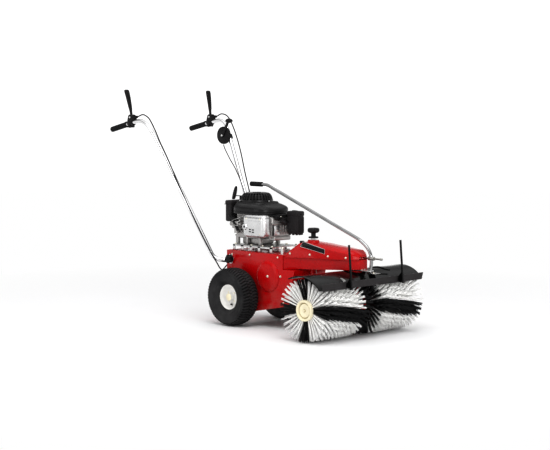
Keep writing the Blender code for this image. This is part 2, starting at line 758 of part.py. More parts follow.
def brush_gearbox():
    neck = cylinder(
        "brush_gearbox", at(0, BRUSH_FORWARD, 0.330), at(0, BRUSH_FORWARD, 0.3588), 0.043, RED,
        end_radius=0.056)
    fuse(
        neck,
        cylinder("gear_column", at(0, BRUSH_FORWARD, 0.190), at(0, BRUSH_FORWARD, 0.335), 0.034, RED),
        cylinder(
            "gear_case", at(-0.046, BRUSH_FORWARD, BRUSH_AXIS_Z), at(0.046, BRUSH_FORWARD, BRUSH_AXIS_Z),
            0.056, RED),
    )
    cut(
        neck,
        cylinder("input_tunnel", at(0, BRUSH_FORWARD, 0.200), at(0, BRUSH_FORWARD, 0.380), 0.0230, RED),
        cylinder(
            "gear_room", at(-0.034, BRUSH_FORWARD, BRUSH_AXIS_Z), at(0.034, BRUSH_FORWARD, BRUSH_AXIS_Z),
            0.045, RED),
        cylinder(
            "shaft_tunnel", at(-0.06, BRUSH_FORWARD, BRUSH_AXIS_Z), at(0.06, BRUSH_FORWARD, BRUSH_AXIS_Z),
            0.0156, RED),
    )
    return neck


def brush_hood():
    start, end, count = math.radians(-27), math.radians(50), 9
    arc = []
    for i in range(count + 1):
        angle = start + (end - start) * i / count
        arc.append(
            (BRUSH_FORWARD + HOOD_RADIUS * math.sin(angle), BRUSH_AXIS_Z + HOOD_RADIUS * math.cos(angle)))
    sections = [[at(x, forward, z) for forward, z in arc] for x in (-HOOD_HALF_WIDTH, HOOD_HALF_WIDTH)]
    hood = loft("brush_hood", sections, BLACK_PAINT, closed_section=False, first_cap=False, last_cap=False)
    shell(hood, 0.003)
    cut(
        hood,
        cylinder(
            "neck_hole", at(0, BRUSH_FORWARD, 0.32), at(0, BRUSH_FORWARD, 0.38), 0.060, BLACK_PAINT,
            steps=16))
    return hood


def front_bar():
    """The bar across the front, with two upright posts on gussets."""
    low, high = 0.288, 0.326
    outline = [(-0.415, high), (0.415, high), (0.402, low), (-0.402, low)]
    bar = slab("front_bar", outline, BAR_FORWARD, BAR_FORWARD + 0.004, GREY_STEEL, "forward")
    for side, name in SIDES:
        x = side * 0.210
        post = cylinder(
            "post_" + name, at(x, 0.914, 0.284), at(x, 0.894, 0.520), 0.0060, BLACK_PAINT, steps=12)
        gusset = [(0.886, 0.290), (0.912, 0.286), (0.909, 0.352), (0.886, 0.324)]
        web = slab("gusset_" + name, gusset, x - 0.002, x + 0.002, BLACK_PAINT, "x")
        fuse(bar, web, post)
    return bar


def hood_strut():
    route = smooth_route([
        at(0.058, 0.800, 0.3595), at(0.088, 0.804, 0.363), at(0.130, 0.812, 0.362), at(0.165, 0.822, 0.352),
        at(0.195, 0.830, 0.352),
    ], 0.014)
    return tube("hood_strut", route, 0.0050, BLACK_PAINT)


def steer_lever():
    route = smooth_route([
        at(0, 0.850, 0.330), at(0, 0.862, 0.372), at(0, 0.868, 0.415), at(0, 0.860, 0.455),
        at(0, 0.836, 0.490), at(0, 0.800, 0.516), at(0, 0.760, 0.536),
    ], 0.020)
    route += smooth_route([
        at(0, 0.600, 0.597), at(0, 0.100, 0.789), at(0, 0.072, 0.798), at(0, 0.045, 0.801),
        at(0, -0.055, 0.801),
    ], 0.120)
    lever = as_mesh(tube("steer_lever", route, STEER_TUBE_RADIUS, CHROME))
    fuse(
        lever,
        box("lever_foot", (-0.020, 0.020), (0.795, 0.868), (0.3605, 0.3655), ZINC),
        cylinder("pin_guide", at(0, 0.848, LOCK_PIN_Z), at(0, 0.888, LOCK_PIN_Z), 0.0105, ZINC, steps=16),
    )
    cut(
        lever,
        cylinder(
            "pin_bore", at(0, 0.84, LOCK_PIN_Z), at(0, 0.90, LOCK_PIN_Z), LOCK_PIN_RADIUS + 0.0005, ZINC,
            steps=16))
    return lever


def cap_sleeve(name, mouth, end, radius, bore, material, steps=12):
    """A hand grip: a sleeve with a closed end, slid on a tube. The end faces away from the mouth."""
    length = (Vector(end) - Vector(mouth)).length
    profile = [
        (0.0, length), (radius - 0.003, length), (radius, length - 0.004), (radius, 0.0), (bore, 0.0),
        (bore, length - 0.004), (0.0, length - 0.004),
    ]
    return turned(name, profile, mouth, Vector(end) - Vector(mouth), material, steps=steps)


def lock_pin():
    pin = cylinder(
        "lock_pin", at(0, 0.8150, LOCK_PIN_Z), at(0, 0.9300, LOCK_PIN_Z), LOCK_PIN_RADIUS, ZINC, steps=12)
    fuse(
        pin,
        cylinder("pin_knob", at(0, 0.928, LOCK_PIN_Z), at(0, 0.945, LOCK_PIN_Z), 0.0085, ZINC, steps=12))
    hang(pivot("lock_pin_axis", at(0, 0.868, LOCK_PIN_Z)), pin)


def brush_pulley():
    profile = [
        (0.0, 0.404), (0.054, 0.404), (0.054, 0.4015), (0.047, 0.4015), (0.047, 0.3885), (0.054, 0.3885),
        (0.054, 0.386), (0.010, 0.386), (0.010, 0.222), (0.020, 0.2215), (0.014, 0.207), (0.0, 0.207),
    ]
    pulley = turned("brush_pulley", profile, at(0, BRUSH_FORWARD, 0), (0, 0, 1), ALUMINIUM, steps=20)
    hang(pivot("brush_pulley_axis", at(0, BRUSH_FORWARD, 0.395)), pulley)


# Roller brush

def bristle_half(name, side):
    """Rows of bristles on a core, wound a little like a screw and splayed at the outer end."""
    core, half_row, twist = 0.046, 0.0042, math.radians(20)
    stations = 4
    sections = []
    for k in range(stations):
        share = k / (stations - 1)
        x = BRUSH_INNER_END + (BRUSH_OUTER_END - BRUSH_INNER_END) * share
        splay = BRUSH_SPLAY if k == stations - 1 else 0.0
        section = []
        for row in range(BRUSH_ROWS):
            turn = 2 * math.pi * (row + 0.5) / BRUSH_ROWS - side * twist * share
            middle = Vector((0.0, math.cos(turn), math.sin(turn)))
            across = Vector((0.0, -math.sin(turn), math.cos(turn)))
            gap_turn = turn + math.pi / BRUSH_ROWS
            valley = Vector((0.0, math.cos(gap_turn), math.sin(gap_turn)))
            hub = Vector((side * x, -BRUSH_FORWARD, BRUSH_AXIS_Z))
            out = Vector((side * splay, 0.0, 0.0))
            section.append(hub + out + middle * BRUSH_RADIUS - across * half_row)
            section.append(hub + out + middle * BRUSH_RADIUS + across * half_row)
            section.append(hub + valley * core)
        sections.append(section)
    half = loft(name, sections, BRISTLES)
    inner = at(side * (BRUSH_INNER_END - 0.02), BRUSH_FORWARD, BRUSH_AXIS_Z)
    outer = at(side * (BRUSH_OUTER_END + 0.05), BRUSH_FORWARD, BRUSH_AXIS_Z)
    cut(half, cylinder(name + "_bore", inner, outer, bore_for(0.0150), BRISTLES))
    room = at(side * (BRUSH_OUTER_END - 0.002), BRUSH_FORWARD, BRUSH_AXIS_Z)
    cut(half, cylinder(name + "_cap_room", room, outer, 0.0580, BRISTLES, steps=16))
    return half


def brush():
    axis = at(0, BRUSH_FORWARD, BRUSH_AXIS_Z)
    shaft = cylinder(
        "brush_shaft", at(-0.3725, BRUSH_FORWARD, BRUSH_AXIS_Z), at(0.3725, BRUSH_FORWARD, BRUSH_AXIS_Z),
        0.0150, STEEL, steps=20)
    pieces = [shaft]
    cap_profile = [
        (0.0, 0.011), (0.036, 0.011), (0.038, 0.006), (0.043, 0.006), (0.046, 0.017), (0.056, 0.017),
        (0.0572, 0.013), (0.0572, 0.0), (0.0, 0.0),
    ]
    for side, name in SIDES:
        pieces.append(bristle_half("brush_" + name, side))
        seat = at(side * (BRUSH_OUTER_END - 0.002 + GAP), BRUSH_FORWARD, BRUSH_AXIS_Z)
        pieces.append(turned("brush_cap_" + name, cap_profile, seat, (side, 0, 0), CREAM_PLASTIC))
    hang(pivot("brush_axis", axis), *pieces)


def brush_head():
    grip = cap_sleeve(
        "steer_grip", at(0, 0.030, 0.801), at(0, -0.062, 0.801), 0.0140, bore_for(STEER_TUBE_RADIUS),
        BLACK_PLASTIC)
    swivel = pivot("head_swivel_axis", at(0, BRUSH_FORWARD, 0.36))
    hang(swivel, brush_gearbox(), brush_hood(), front_bar(), hood_strut(), steer_lever(), grip)
    lock_pin()
    brush_pulley()
    brush()


# Handles: two separate tubes, each with a grip, a clutch lever and a star knob at its foot

HANDLE_LINE = [
    (0.320, -0.9360, 1.1118), (0.320, -0.800, 1.142), (0.320, -0.700, 1.161), (0.3195, -0.648, 1.158),
    (0.314, -0.605, 1.128), (0.303, -0.572, 1.080), (0.200, -0.196, 0.412), (0.192, -0.182, 0.385),
    (0.178, -0.162, 0.368), (0.160, -0.138, 0.362), (0.142, -0.118, 0.366),
]


def handle_point(side, index):
    x, forward, z = HANDLE_LINE[index]
    return at(side * x, forward, z)


def handle_tube(side, name):
    """A bent tube whose foot is a flat round tab on the chassis wall."""
    bends = smooth_route([handle_point(side, i) for i in range(2, 6)], 0.014)
    foot = [handle_point(side, i) for i in range(6, len(HANDLE_LINE))]
    points = [handle_point(side, 0), handle_point(side, 1), *bends, *foot]
    handle = as_mesh(tube("handle_tube_" + name, points, HANDLE_TUBE_RADIUS, CHROME))
    x, forward, z = HANDLE_PIVOT
    near, far = at(side * (x - 0.003), forward, z), at(side * (x + 0.003), forward, z)
    tab = cylinder("tab_" + name, near, far, 0.023, CHROME)
    strap_outline = [(-0.108, 0.352), (-0.108, 0.388), (-0.134, 0.379), (-0.134, 0.352)]
    strap = slab("strap_" + name, strap_outline, side * (x - 0.003), side * (x + 0.003), CHROME, "x")
    fuse(handle, tab, strap)
    beyond = at(side * (x + 0.03), forward, z)
    cut(
        handle,
        cylinder("tab_bore_" + name, at(side * (x - 0.01), forward, z), beyond, 0.0055, CHROME, steps=12),
        cylinder("knob_room_" + name, at(side * (x + 0.0033), forward, z), beyond, 0.027, CHROME),
        box(
            "wall_side_" + name, sorted((side * 0.10, side * (CHASSIS_HALF_WIDTH + GAP))), (-0.2, 0.0),
            (0.3, 0.5), CHROME),
    )
    return handle


def star_knob(side, name):
    """A five-lobed knob and its bolt."""
    x, forward, z = HANDLE_PIVOT
    count = 25
    outline = []
    for i in range(count):
        angle = 2 * math.pi * i / count
        radius = 0.0225 + 0.0030 * math.cos(5 * angle)
        outline.append((forward + radius * math.cos(angle), z + radius * math.sin(angle)))
    knob = slab("star_knob_" + name, outline, side * (x + 0.0036), side * (x + 0.0285), BLACK_PLASTIC, "x")
    bolt = cylinder(
        "bolt_" + name, at(side * 0.120, forward, z), at(side * (x + 0.006), forward, z), 0.0050, ZINC,
        steps=12)
    fuse(knob, bolt)
    hang(pivot("star_knob_axis_" + name, at(side * x, forward, z)), knob)


def lever_clamp(side, name):
    """The clamp on the tube, with two ears for the lever and a nose for the cable."""
    tube_start, tube_end = handle_point(side, 1), handle_point(side, 2)
    direction = (tube_end - tube_start).normalized()
    middle = tube_start + direction * 0.042
    clamp = cylinder(
        "lever_clamp_" + name, middle - direction * 0.020, middle + direction * 0.020, 0.0195,
        BLACK_PLASTIC)
    ear = [(-0.782, 1.152), (-0.735, 1.158), (-0.733, 1.194), (-0.748, 1.201), (-0.766, 1.199)]
    x = side * HANDLE_SPACING
    nose = at(x, -0.728, 1.183)
    fuse(
        clamp,
        slab("ear_a_" + name, ear, x - 0.0145, x - 0.0105, BLACK_PLASTIC, "x"),
        slab("ear_b_" + name, ear, x + 0.0105, x + 0.0145, BLACK_PLASTIC, "x"),
        box(
            "saddle_" + name, sorted((x - 0.013, x + 0.013)), (-0.742, -0.724), (1.160, 1.194),
            BLACK_PLASTIC),
        cylinder("nose_" + name, nose, at(x, -0.702, 1.188), 0.0075, BLACK_PLASTIC, steps=12),
    )
    cut(
        clamp,
        cylinder("clamp_bore_" + name, tube_start, tube_end, bore_for(HANDLE_TUBE_RADIUS), BLACK_PLASTIC),
        cylinder(
            "lever_bore_" + name, at(x - 0.02, LEVER_PIVOT_FORWARD, LEVER_PIVOT_Z),
            at(x + 0.02, LEVER_PIVOT_FORWARD, LEVER_PIVOT_Z), 0.0045, BLACK_PLASTIC, steps=12),
    )
    return clamp


def clutch_lever(side, name):
    """A paddle that widens upwards and leans back and outwards."""
    x = side * HANDLE_SPACING
    hub_place = at(x, LEVER_PIVOT_FORWARD, LEVER_PIVOT_Z)
    stations = [
        # outward, forward, z, half-width, half-depth
        (0.000, LEVER_PIVOT_FORWARD, LEVER_PIVOT_Z, 0.0075, 0.0065),
        (0.001, -0.762, 1.222, 0.0085, 0.0060),
        (0.002, -0.764, 1.236, 0.0120, 0.0062),
        (0.004, -0.769, 1.262, 0.0140, 0.0066),
        (0.007, -0.779, 1.306, 0.0170, 0.0070),
        (0.010, -0.789, 1.343, 0.0185, 0.0065),
        (0.010, -0.790, 1.350, 0.0150, 0.0035),
    ]
    sections = []
    for outward, forward, z, half_x, half_f in stations:
        centre_x = x + side * outward
        corners = [
            (-1, -0.4), (-0.6, -1), (0.6, -1), (1, -0.4), (1, 0.4), (0.6, 1), (-0.6, 1), (-1, 0.4),
        ]
        sections.append([at(centre_x + half_x * a, forward + half_f * b, z) for a, b in corners])
    paddle = loft("clutch_lever_" + name, sections, BLACK_PLASTIC)
    half_hub = Vector((0.0098, 0, 0))
    half_pin = Vector((0.0165, 0, 0))
    fuse(
        paddle,
        cylinder(
            "hub_" + name, hub_place - half_hub, hub_place + half_hub, 0.0100, BLACK_PLASTIC, steps=16),
        cylinder(
            "pin_" + name, hub_place - half_pin, hub_place + half_pin, 0.0040, BLACK_PLASTIC, steps=12),
    )
    hang(pivot("clutch_lever_axis_" + name, hub_place), paddle)


def throttle():
    """A round throttle case clamped to the left tube, and its lever."""
    x, forward, z = THROTTLE_CENTRE
    disc = cylinder(
        "throttle_case", at(x - 0.010, forward, z), at(x + 0.010, forward, z), THROTTLE_RADIUS,
        BLACK_PLASTIC, steps=22)
    upper, lower = handle_point(1, 5), handle_point(1, 6)
    direction = (lower - upper).normalized()
    ring_middle = upper + direction * 0.020
    ring = cylinder(
        "throttle_clamp", ring_middle - direction * 0.012, ring_middle + direction * 0.012, 0.0195,
        BLACK_PLASTIC)
    fuse(disc, ring)
    cut(
        disc,
        cylinder(
            "throttle_clamp_bore", upper - direction * 0.010, upper + direction * 0.120,
            bore_for(HANDLE_TUBE_RADIUS), BLACK_PLASTIC),
        cylinder(
            "throttle_pin_hole", at(x - 0.02, forward, z), at(x + 0.004, forward, z), 0.0045, BLACK_PLASTIC,
            steps=12),
    )
    knob_forward, knob_z = -0.532, 1.162
    face = x - 0.010 - GAP
    outline = [
        (forward - 0.011, z - 0.009), (forward + 0.009, z - 0.011), (knob_forward + 0.006, knob_z - 0.004),
        (knob_forward - 0.006, knob_z + 0.004),
    ]
    arm = slab("throttle_lever", outline, face - 0.007, face, BLACK_PLASTIC, "x")
    knob = box(
        "throttle_knob", (x - 0.031, x + 0.009), (knob_forward - 0.023, knob_forward + 0.023),
        (knob_z - 0.014, knob_z + 0.014), BLACK_PLASTIC)
    bevelled(knob, 0.007, 2)
    pin = cylinder(
        "throttle_pin", at(face - 0.004, forward, z), at(x, forward, z), 0.0040, BLACK_PLASTIC, steps=12)
    fuse(arm, knob, pin)
    hang(pivot("throttle_axis", at(x, forward, z)), arm)
    return disc


def cables():
    """Bowden cables, each held at the control and where it enters the chassis."""
    nose = (0.320, -0.7005, 1.188)
    entry = [
        (0.150, -0.186, 0.505), (0.126, -0.168, 0.440), (0.104, -0.156, 0.392), (0.080, -0.138, 0.370),
        (0.080, -0.100, 0.370),
    ]
    drive = [
        nose, (0.322, -0.650, 1.201), (0.323, -0.612, 1.190), (0.322, -0.585, 1.170),
        (0.320, -0.543, 1.112), (0.312, -0.508, 1.042), (0.302, -0.475, 0.979), (0.292, -0.443, 0.914),
        (0.271, -0.378, 0.775), (0.252, -0.312, 0.648), (0.233, -0.245, 0.522), (0.2185, -0.1915, 0.431),
        (0.207, -0.165, 0.383), (0.184, -0.158, 0.346), (0.150, -0.169, 0.312), (0.124, -0.174, 0.300),
        (0.096, -0.166, 0.326), (0.080, -0.138, 0.366), (0.080, -0.100, 0.370),
    ]
    brush_route = [
        nose, (0.320, -0.652, 1.204), (0.318, -0.592, 1.184), (0.313, -0.532, 1.105),
        (0.300, -0.466, 0.983), (0.272, -0.396, 0.850), (0.236, -0.318, 0.732),
        (0.188, -0.216, 0.580), *entry,
    ]
    throttle_route = [
        (0.2785, -0.592, 1.0155), (0.2775, -0.584, 0.995), (0.262, -0.519, 0.928), (0.238, -0.440, 0.863),
        (0.190, -0.320, 0.747), (0.140, -0.230, 0.600), (0.090, -0.190, 0.470), (0.055, -0.152, 0.376),
        (0.040, -0.135, 0.370), (0.040, -0.100, 0.370),
    ]
    spacing = 0.048
    right = tube(
        "drive_cable", smooth_route([at(-x, f, z) for x, f, z in drive], spacing), CABLE_RADIUS, RUBBER)
    left = tube(
        "brush_cable", smooth_route([at(x, f, z) for x, f, z in brush_route], spacing), CABLE_RADIUS,
        RUBBER)
    gas = tube(
        "throttle_cable", smooth_route([at(x, f, z) for x, f, z in throttle_route], spacing), 0.0028,
        RUBBER)
    return right, left, gas


def handles():
    drive_cable, brush_cable, throttle_cable = cables()
    riding = {"right": [drive_cable], "left": [brush_cable, throttle_cable, throttle()]}
    for side, name in SIDES:
        grip = cap_sleeve(
            "grip_" + name, handle_point(side, 1), at(side * HANDLE_SPACING, -0.9421, 1.1105),
            GRIP_RADIUS, bore_for(HANDLE_TUBE_RADIUS), RUBBER)
        x, forward, z = HANDLE_PIVOT
        tilt = pivot("handle_axis_" + name, at(side * x, forward, z))
        hang(tilt, handle_tube(side, name), grip, lever_clamp(side, name), *riding[name])
        clutch_lever(side, name)
        star_knob(side, name)


def main():
    chassis()
    side_cover()
    arm_channel()
    arm_cover()
    engine_plate()
    engine_block()
    cylinder_head()
    muffler_guard()
    engine_shroud()
    recoil_housing()
    fuel_tank()
    fuel_cap()
    air_filter_box()
    carburettor()
    crankshaft()
    recoil_grip()
    belts()
    idlers()
    wheel_drive()
    wheels()
    height_spindle()
    caster()
    brush_head()
    handles()


main()
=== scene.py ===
"""The looks of a walk-behind sweeper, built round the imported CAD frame.

+Z up, -Y forward, +X to the operator's left, as in the CAD. Shapes are written in millimetres as
(x, forward, z). at() turns such a point into a vector, and Mesher.make() scales a shape to metres.
The camera, lights, materials and modifiers are in metres."""

import random
from math import copysign, cos, degrees, exp, hypot, pi, radians, sin, sqrt

import bmesh
import bpy
from mathutils import Matrix, Vector


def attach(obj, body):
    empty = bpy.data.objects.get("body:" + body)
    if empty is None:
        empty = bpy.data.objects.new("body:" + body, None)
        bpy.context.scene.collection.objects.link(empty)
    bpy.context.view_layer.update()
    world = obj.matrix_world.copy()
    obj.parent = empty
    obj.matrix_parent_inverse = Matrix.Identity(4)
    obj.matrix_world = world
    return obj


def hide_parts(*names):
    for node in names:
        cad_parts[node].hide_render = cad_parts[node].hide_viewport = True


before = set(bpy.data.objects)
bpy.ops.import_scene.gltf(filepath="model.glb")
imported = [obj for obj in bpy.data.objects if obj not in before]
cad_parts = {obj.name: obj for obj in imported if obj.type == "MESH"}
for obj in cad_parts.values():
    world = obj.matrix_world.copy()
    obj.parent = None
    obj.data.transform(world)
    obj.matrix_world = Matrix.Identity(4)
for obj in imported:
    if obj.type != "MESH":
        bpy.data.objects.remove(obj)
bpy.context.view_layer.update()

MM = 0.001

# Sizes shared with the CAD, in millimetres
WHEEL_RADIUS = 165
WHEEL_SPACING = 207
AXLE_RADIUS = 12.5
WALL = 130                     # outer face of the chassis side
CRANK_FORWARD = -15
BRUSH_FORWARD = 735
BRUSH_RADIUS = 172
BRUSH_AXIS_Z = 172.5
BRUSH_CORE = 46
BRUSH_INNER_END = 60
BRUSH_OUTER_END = 369
SPINDLE_FORWARD = 438
HANDLE_PIVOT = (133.5, -95, 370)
HANDLE_TUBE_RADIUS = 12.5
HANDLE_SPACING = 320
STEER_TUBE_RADIUS = 9
LOCK_PIN_Z = 431
HOOD_RADIUS = 187
HOOD_HALF_WIDTH = 420
BAR_FORWARD = 885
CASTER_RADIUS = 75
CASTER_AXLE_FORWARD = 315
THROTTLE_CENTRE = (278.5, -590, 1072)
FLOOR_Z = -0.4
FLOOR_RADIUS = 14000
SIDES = ((-1, "right"), (1, "left"))

# World directions
UP = (0, 0, 1)
LEFT = (1, 0, 0)
RIGHT = (-1, 0, 0)
FRONT = (0, -1, 0)
BACK = (0, 1, 0)

PRINT_GAMMA = 0.78               # deepens the dark tones and leaves white alone
SKY_STRENGTH = 1.25
# Sine of the height above the horizon, and how bright the studio is there: a white horizon, a dim
# band and a white ceiling.
SKY = ((0.0, 0.95), (0.15, 0.95), (0.24, 0.28), (0.50, 0.28), (0.66, 1.0), (1.0, 1.0))
LIGHTS = (
    # name, place, target, size and power in watts
    ("overhead", (-1.2, -1.6, 4.6), (0, 0, 0.4), (3.0, 3.0), 70),
    ("left_fill", (-4.6, 0.6, 2.0), (0, 0, 0.4), (2.0, 2.6), 30),
    ("front_fill", (-2.2, -5.6, 1.9), (0, -0.3, 0.3), (3.0, 2.0), 110),
)

# The camera that was fitted to the photo
CAMERA_PLACE = (-5.874, -5.988, 1.234)
CAMERA_LENS = 94.96
CAMERA_AZIMUTH = -45.1
CAMERA_PITCH = 4.57


def at(x, forward, z):
    return Vector((x, -forward, z))


# Camera, lights and floor

def aim(obj, place, direction):
    bpy.context.scene.collection.objects.link(obj)
    obj.location = place
    obj.rotation_mode = "QUATERNION"
    obj.rotation_quaternion = direction.to_track_quat("-Z", "Y")


def camera():
    data = bpy.data.cameras.new("camera")
    data.sensor_width = 36.0
    data.lens = CAMERA_LENS
    data.clip_end = 100.0
    azimuth, pitch = radians(CAMERA_AZIMUTH), radians(CAMERA_PITCH)
    back = Vector((sin(azimuth) * cos(pitch), -cos(azimuth) * cos(pitch), sin(pitch)))
    eye = bpy.data.objects.new("camera", data)
    aim(eye, CAMERA_PLACE, -back)
    bpy.context.scene.camera = eye


def area_light(name, place, target, size, power):
    data = bpy.data.lights.new(name, "AREA")
    data.shape = "RECTANGLE"
    data.size, data.size_y = size
    data.energy = power
    aim(bpy.data.objects.new(name, data), place, Vector(target) - Vector(place))


def studio():
    """A sky that is plain in every direction round, three soft lights and a white floor."""
    bpy.context.scene.view_settings.view_transform = "Standard"
    bpy.context.scene.view_settings.gamma = PRINT_GAMMA
    world = bpy.data.worlds.new("studio")
    bpy.context.scene.world = world
    world.use_nodes = True
    tree = world.node_tree
    direction = tree.nodes.new("ShaderNodeTexCoord")
    parts = tree.nodes.new("ShaderNodeSeparateXYZ")
    ramp = tree.nodes.new("ShaderNodeValToRGB")
    tree.links.new(direction.outputs["Generated"], parts.inputs[0])
    tree.links.new(parts.outputs["Z"], ramp.inputs["Fac"])
    tree.links.new(ramp.outputs["Color"], tree.nodes["Background"].inputs["Color"])
    levels = ramp.color_ramp.elements
    while len(levels) < len(SKY):
        levels.new(0.5)
    for level, (height, brightness) in zip(levels, SKY):
        level.position = height
        level.color = (brightness, brightness, brightness, 1.0)
    tree.nodes["Background"].inputs["Strength"].default_value = SKY_STRENGTH
    for light in LIGHTS:
        area_light(*light)
    edge = [at(FLOOR_RADIUS * c, FLOOR_RADIUS * s, FLOOR_Z) for c, s in circle(96)]
    Mesher(FLOOR).skin([[at(0, 0, FLOOR_Z)], edge], caps=False).make("studio_floor")


# Materials

class Nodes:
    """One material's node tree, with short ways to add to it."""

    def __init__(self, name):
        self.material = bpy.data.materials.new(name)
        self.material.use_nodes = True
        self.tree = self.material.node_tree
        self.shader = self.tree.nodes["Principled BSDF"]
        self.point = self.tree.nodes.new("ShaderNodeTexCoord").outputs["Object"]

    def link(self, value, socket):
        if isinstance(value, bpy.types.NodeSocket):
            self.tree.links.new(value, socket)
        elif isinstance(value, tuple) and len(value) == 3 and socket.type == "RGBA":
            socket.default_value = (*value, 1.0)
        else:
            socket.default_value = value

    def add(self, kind, output=0, settings=None, **inputs):
        node = self.tree.nodes.new(kind)
        for key, value in (settings or {}).items():
            setattr(node, key, value)
        for key, value in inputs.items():
            self.link(value, node.inputs[key.replace("_", " ")])
        return node.outputs[output]

    def noise(self, scale, detail=3.0, stretch=None):
        point = self.point
        if stretch:
            point = self.add("ShaderNodeMapping", Vector=point, Scale=stretch)
        return self.add("ShaderNodeTexNoise", Vector=point, Scale=scale, Detail=detail)

    def span(self, value, low, high, to_low=0.0, to_high=1.0):
        return self.add(
            "ShaderNodeMapRange", Value=value, From_Min=low, From_Max=high, To_Min=to_low, To_Max=to_high)

    def maths(self, operation, a, b):
        node = self.tree.nodes.new("ShaderNodeMath")
        node.operation = operation
        self.link(a, node.inputs[0])
        self.link(b, node.inputs[1])
        return node.outputs[0]

    def mix(self, share, a, b):
        node = self.tree.nodes.new("ShaderNodeMix")
        node.data_type = "RGBA"
        self.link(share, node.inputs[0])
        self.link(a, node.inputs[6])
        self.link(b, node.inputs[7])
        return node.outputs[2]

    def height(self):
        """Height above the floor at rest."""
        return self.add("ShaderNodeSeparateXYZ", 2, Vector=self.point)

    def edges(self, radius, keenness):
        """1 along worn edges and 0 on flat faces, broken up by noise."""
        rounded = self.add("ShaderNodeBevel", settings={"samples": 4}, Radius=radius)
        flat = self.add("ShaderNodeNewGeometry", "Normal")
        node = self.tree.nodes.new("ShaderNodeVectorMath")
        node.operation = "DOT_PRODUCT"
        self.tree.links.new(rounded, node.inputs[0])
        self.tree.links.new(flat, node.inputs[1])
        edge = self.span(node.outputs["Value"], 0.995, 0.90)
        return self.maths("MULTIPLY", edge, self.span(self.noise(70.0), 0.42, keenness))

    def attribute(self, name, output="Fac"):
        return self.add("ShaderNodeAttribute", output, settings={"attribute_name": name})

    def bump(self, height, strength, distance):
        self.link(
            self.add("ShaderNodeBump", Height=height, Strength=strength, Distance=distance),
            self.shader.inputs["Normal"])

    def set(self, **inputs):
        for key, value in inputs.items():
            self.link(value, self.shader.inputs[key.replace("_", " ")])
        return self.material


def shade(rgb, factor):
    return tuple(channel * factor for channel in rgb)


def paint(name, rgb, roughness=0.22, coat=0.6, wear=None, dust=0.0, peel=0.06):
    """Enamel: slight orange peel, uneven gloss, chipped edges and dust near the floor."""
    n = Nodes(name)
    colour = n.mix(n.span(n.noise(5.0), 0.35, 0.65), shade(rgb, 0.90), shade(rgb, 1.06))
    if wear:
        colour = n.mix(n.edges(0.0012, 0.75), colour, wear)
    if dust:
        low = n.span(n.height(), 0.30, 0.06, 0.0, dust)
        settled = n.maths("MULTIPLY", low, n.span(n.noise(24.0, 5.0), 0.35, 0.7))
        colour = n.mix(settled, colour, (0.26, 0.21, 0.17))
    gloss = n.span(n.noise(16.0, 4.0), 0.3, 0.7, roughness * 0.75, roughness * 1.5)
    n.bump(n.noise(420.0, 1.0), peel, 0.0006)
    return n.set(
        Base_Color=colour, Roughness=gloss, Specular_IOR_Level=0.2, Coat_Weight=coat, Coat_Roughness=0.06,
        Coat_IOR=1.35)


def plated(name, rgb, roughness=0.3, spangle=30.0, contrast=0.16, stain=(0.30, 0.27, 0.22)):
    """Zinc plate: crystals of slightly unlike brightness, with a dull bloom."""
    n = Nodes(name)
    cell = n.add("ShaderNodeTexVoronoi", "Color", Vector=n.point, Scale=spangle)
    grey = n.add("ShaderNodeRGBToBW", Color=cell)
    colour = n.mix(grey, shade(rgb, 1.0 - contrast), shade(rgb, 1.0 + contrast * 0.4))
    colour = n.mix(n.span(n.noise(11.0, 6.0), 0.55, 0.85, 0.0, 0.55), colour, stain)
    gloss = n.span(grey, 0.0, 1.0, roughness * 0.7, roughness * 1.4)
    n.bump(n.noise(260.0, 3.0), 0.10, 0.0004)
    return n.set(Base_Color=colour, Metallic=1.0, Roughness=gloss)


def cast(name, rgb, roughness=0.42, grain=0.35, metallic=0.85):
    """Die-cast metal: a fine pebbled skin with brighter rubbed edges."""
    n = Nodes(name)
    colour = n.mix(n.span(n.noise(9.0, 5.0), 0.3, 0.7), shade(rgb, 0.82), shade(rgb, 1.08))
    colour = n.mix(n.edges(0.0015, 0.8), colour, (0.85, 0.85, 0.84))
    n.bump(n.noise(520.0, 2.0), grain, 0.0006)
    gloss = n.span(n.noise(34.0, 4.0), 0.3, 0.7, roughness * 0.8, roughness * 1.25)
    return n.set(Base_Color=colour, Metallic=metallic, Roughness=gloss)


def plastic(name, rgb, roughness=0.42, texture=0.25, scale=620.0, worn=(0.09, 0.088, 0.085), specular=0.22):
    """Moulded plastic: spark-eroded texture, greyed where hands and dust have rubbed it."""
    n = Nodes(name)
    colour = n.mix(n.span(n.noise(7.0, 5.0), 0.3, 0.75), rgb, shade(rgb, 1.45))
    colour = n.mix(n.edges(0.001, 0.85), colour, worn)
    gloss = n.span(n.noise(22.0, 4.0), 0.3, 0.7, roughness * 0.8, roughness * 1.3)
    n.bump(n.noise(scale, 2.0), texture, 0.0005)
    return n.set(Base_Color=colour, Roughness=gloss, Specular_IOR_Level=specular)


def chrome(name, brightness=1.0):
    """Bright plate on tube: faint polishing streaks and a little mottling."""
    n = Nodes(name)
    streak = n.noise(60.0, 2.0, stretch=(1.0, 0.06, 0.06))
    mottled = n.span(n.noise(13.0, 5.0), 0.45, 0.8)
    # A brightness under 1 makes a darker copy of the same chrome, which is painted shade.
    colour = n.mix(mottled, shade((0.86, 0.86, 0.87), brightness), shade((0.66, 0.65, 0.64), brightness))
    n.bump(streak, 0.04, 0.0004)
    return n.set(Base_Color=colour, Metallic=1.0, Roughness=n.span(streak, 0.3, 0.7, 0.08, 0.20))


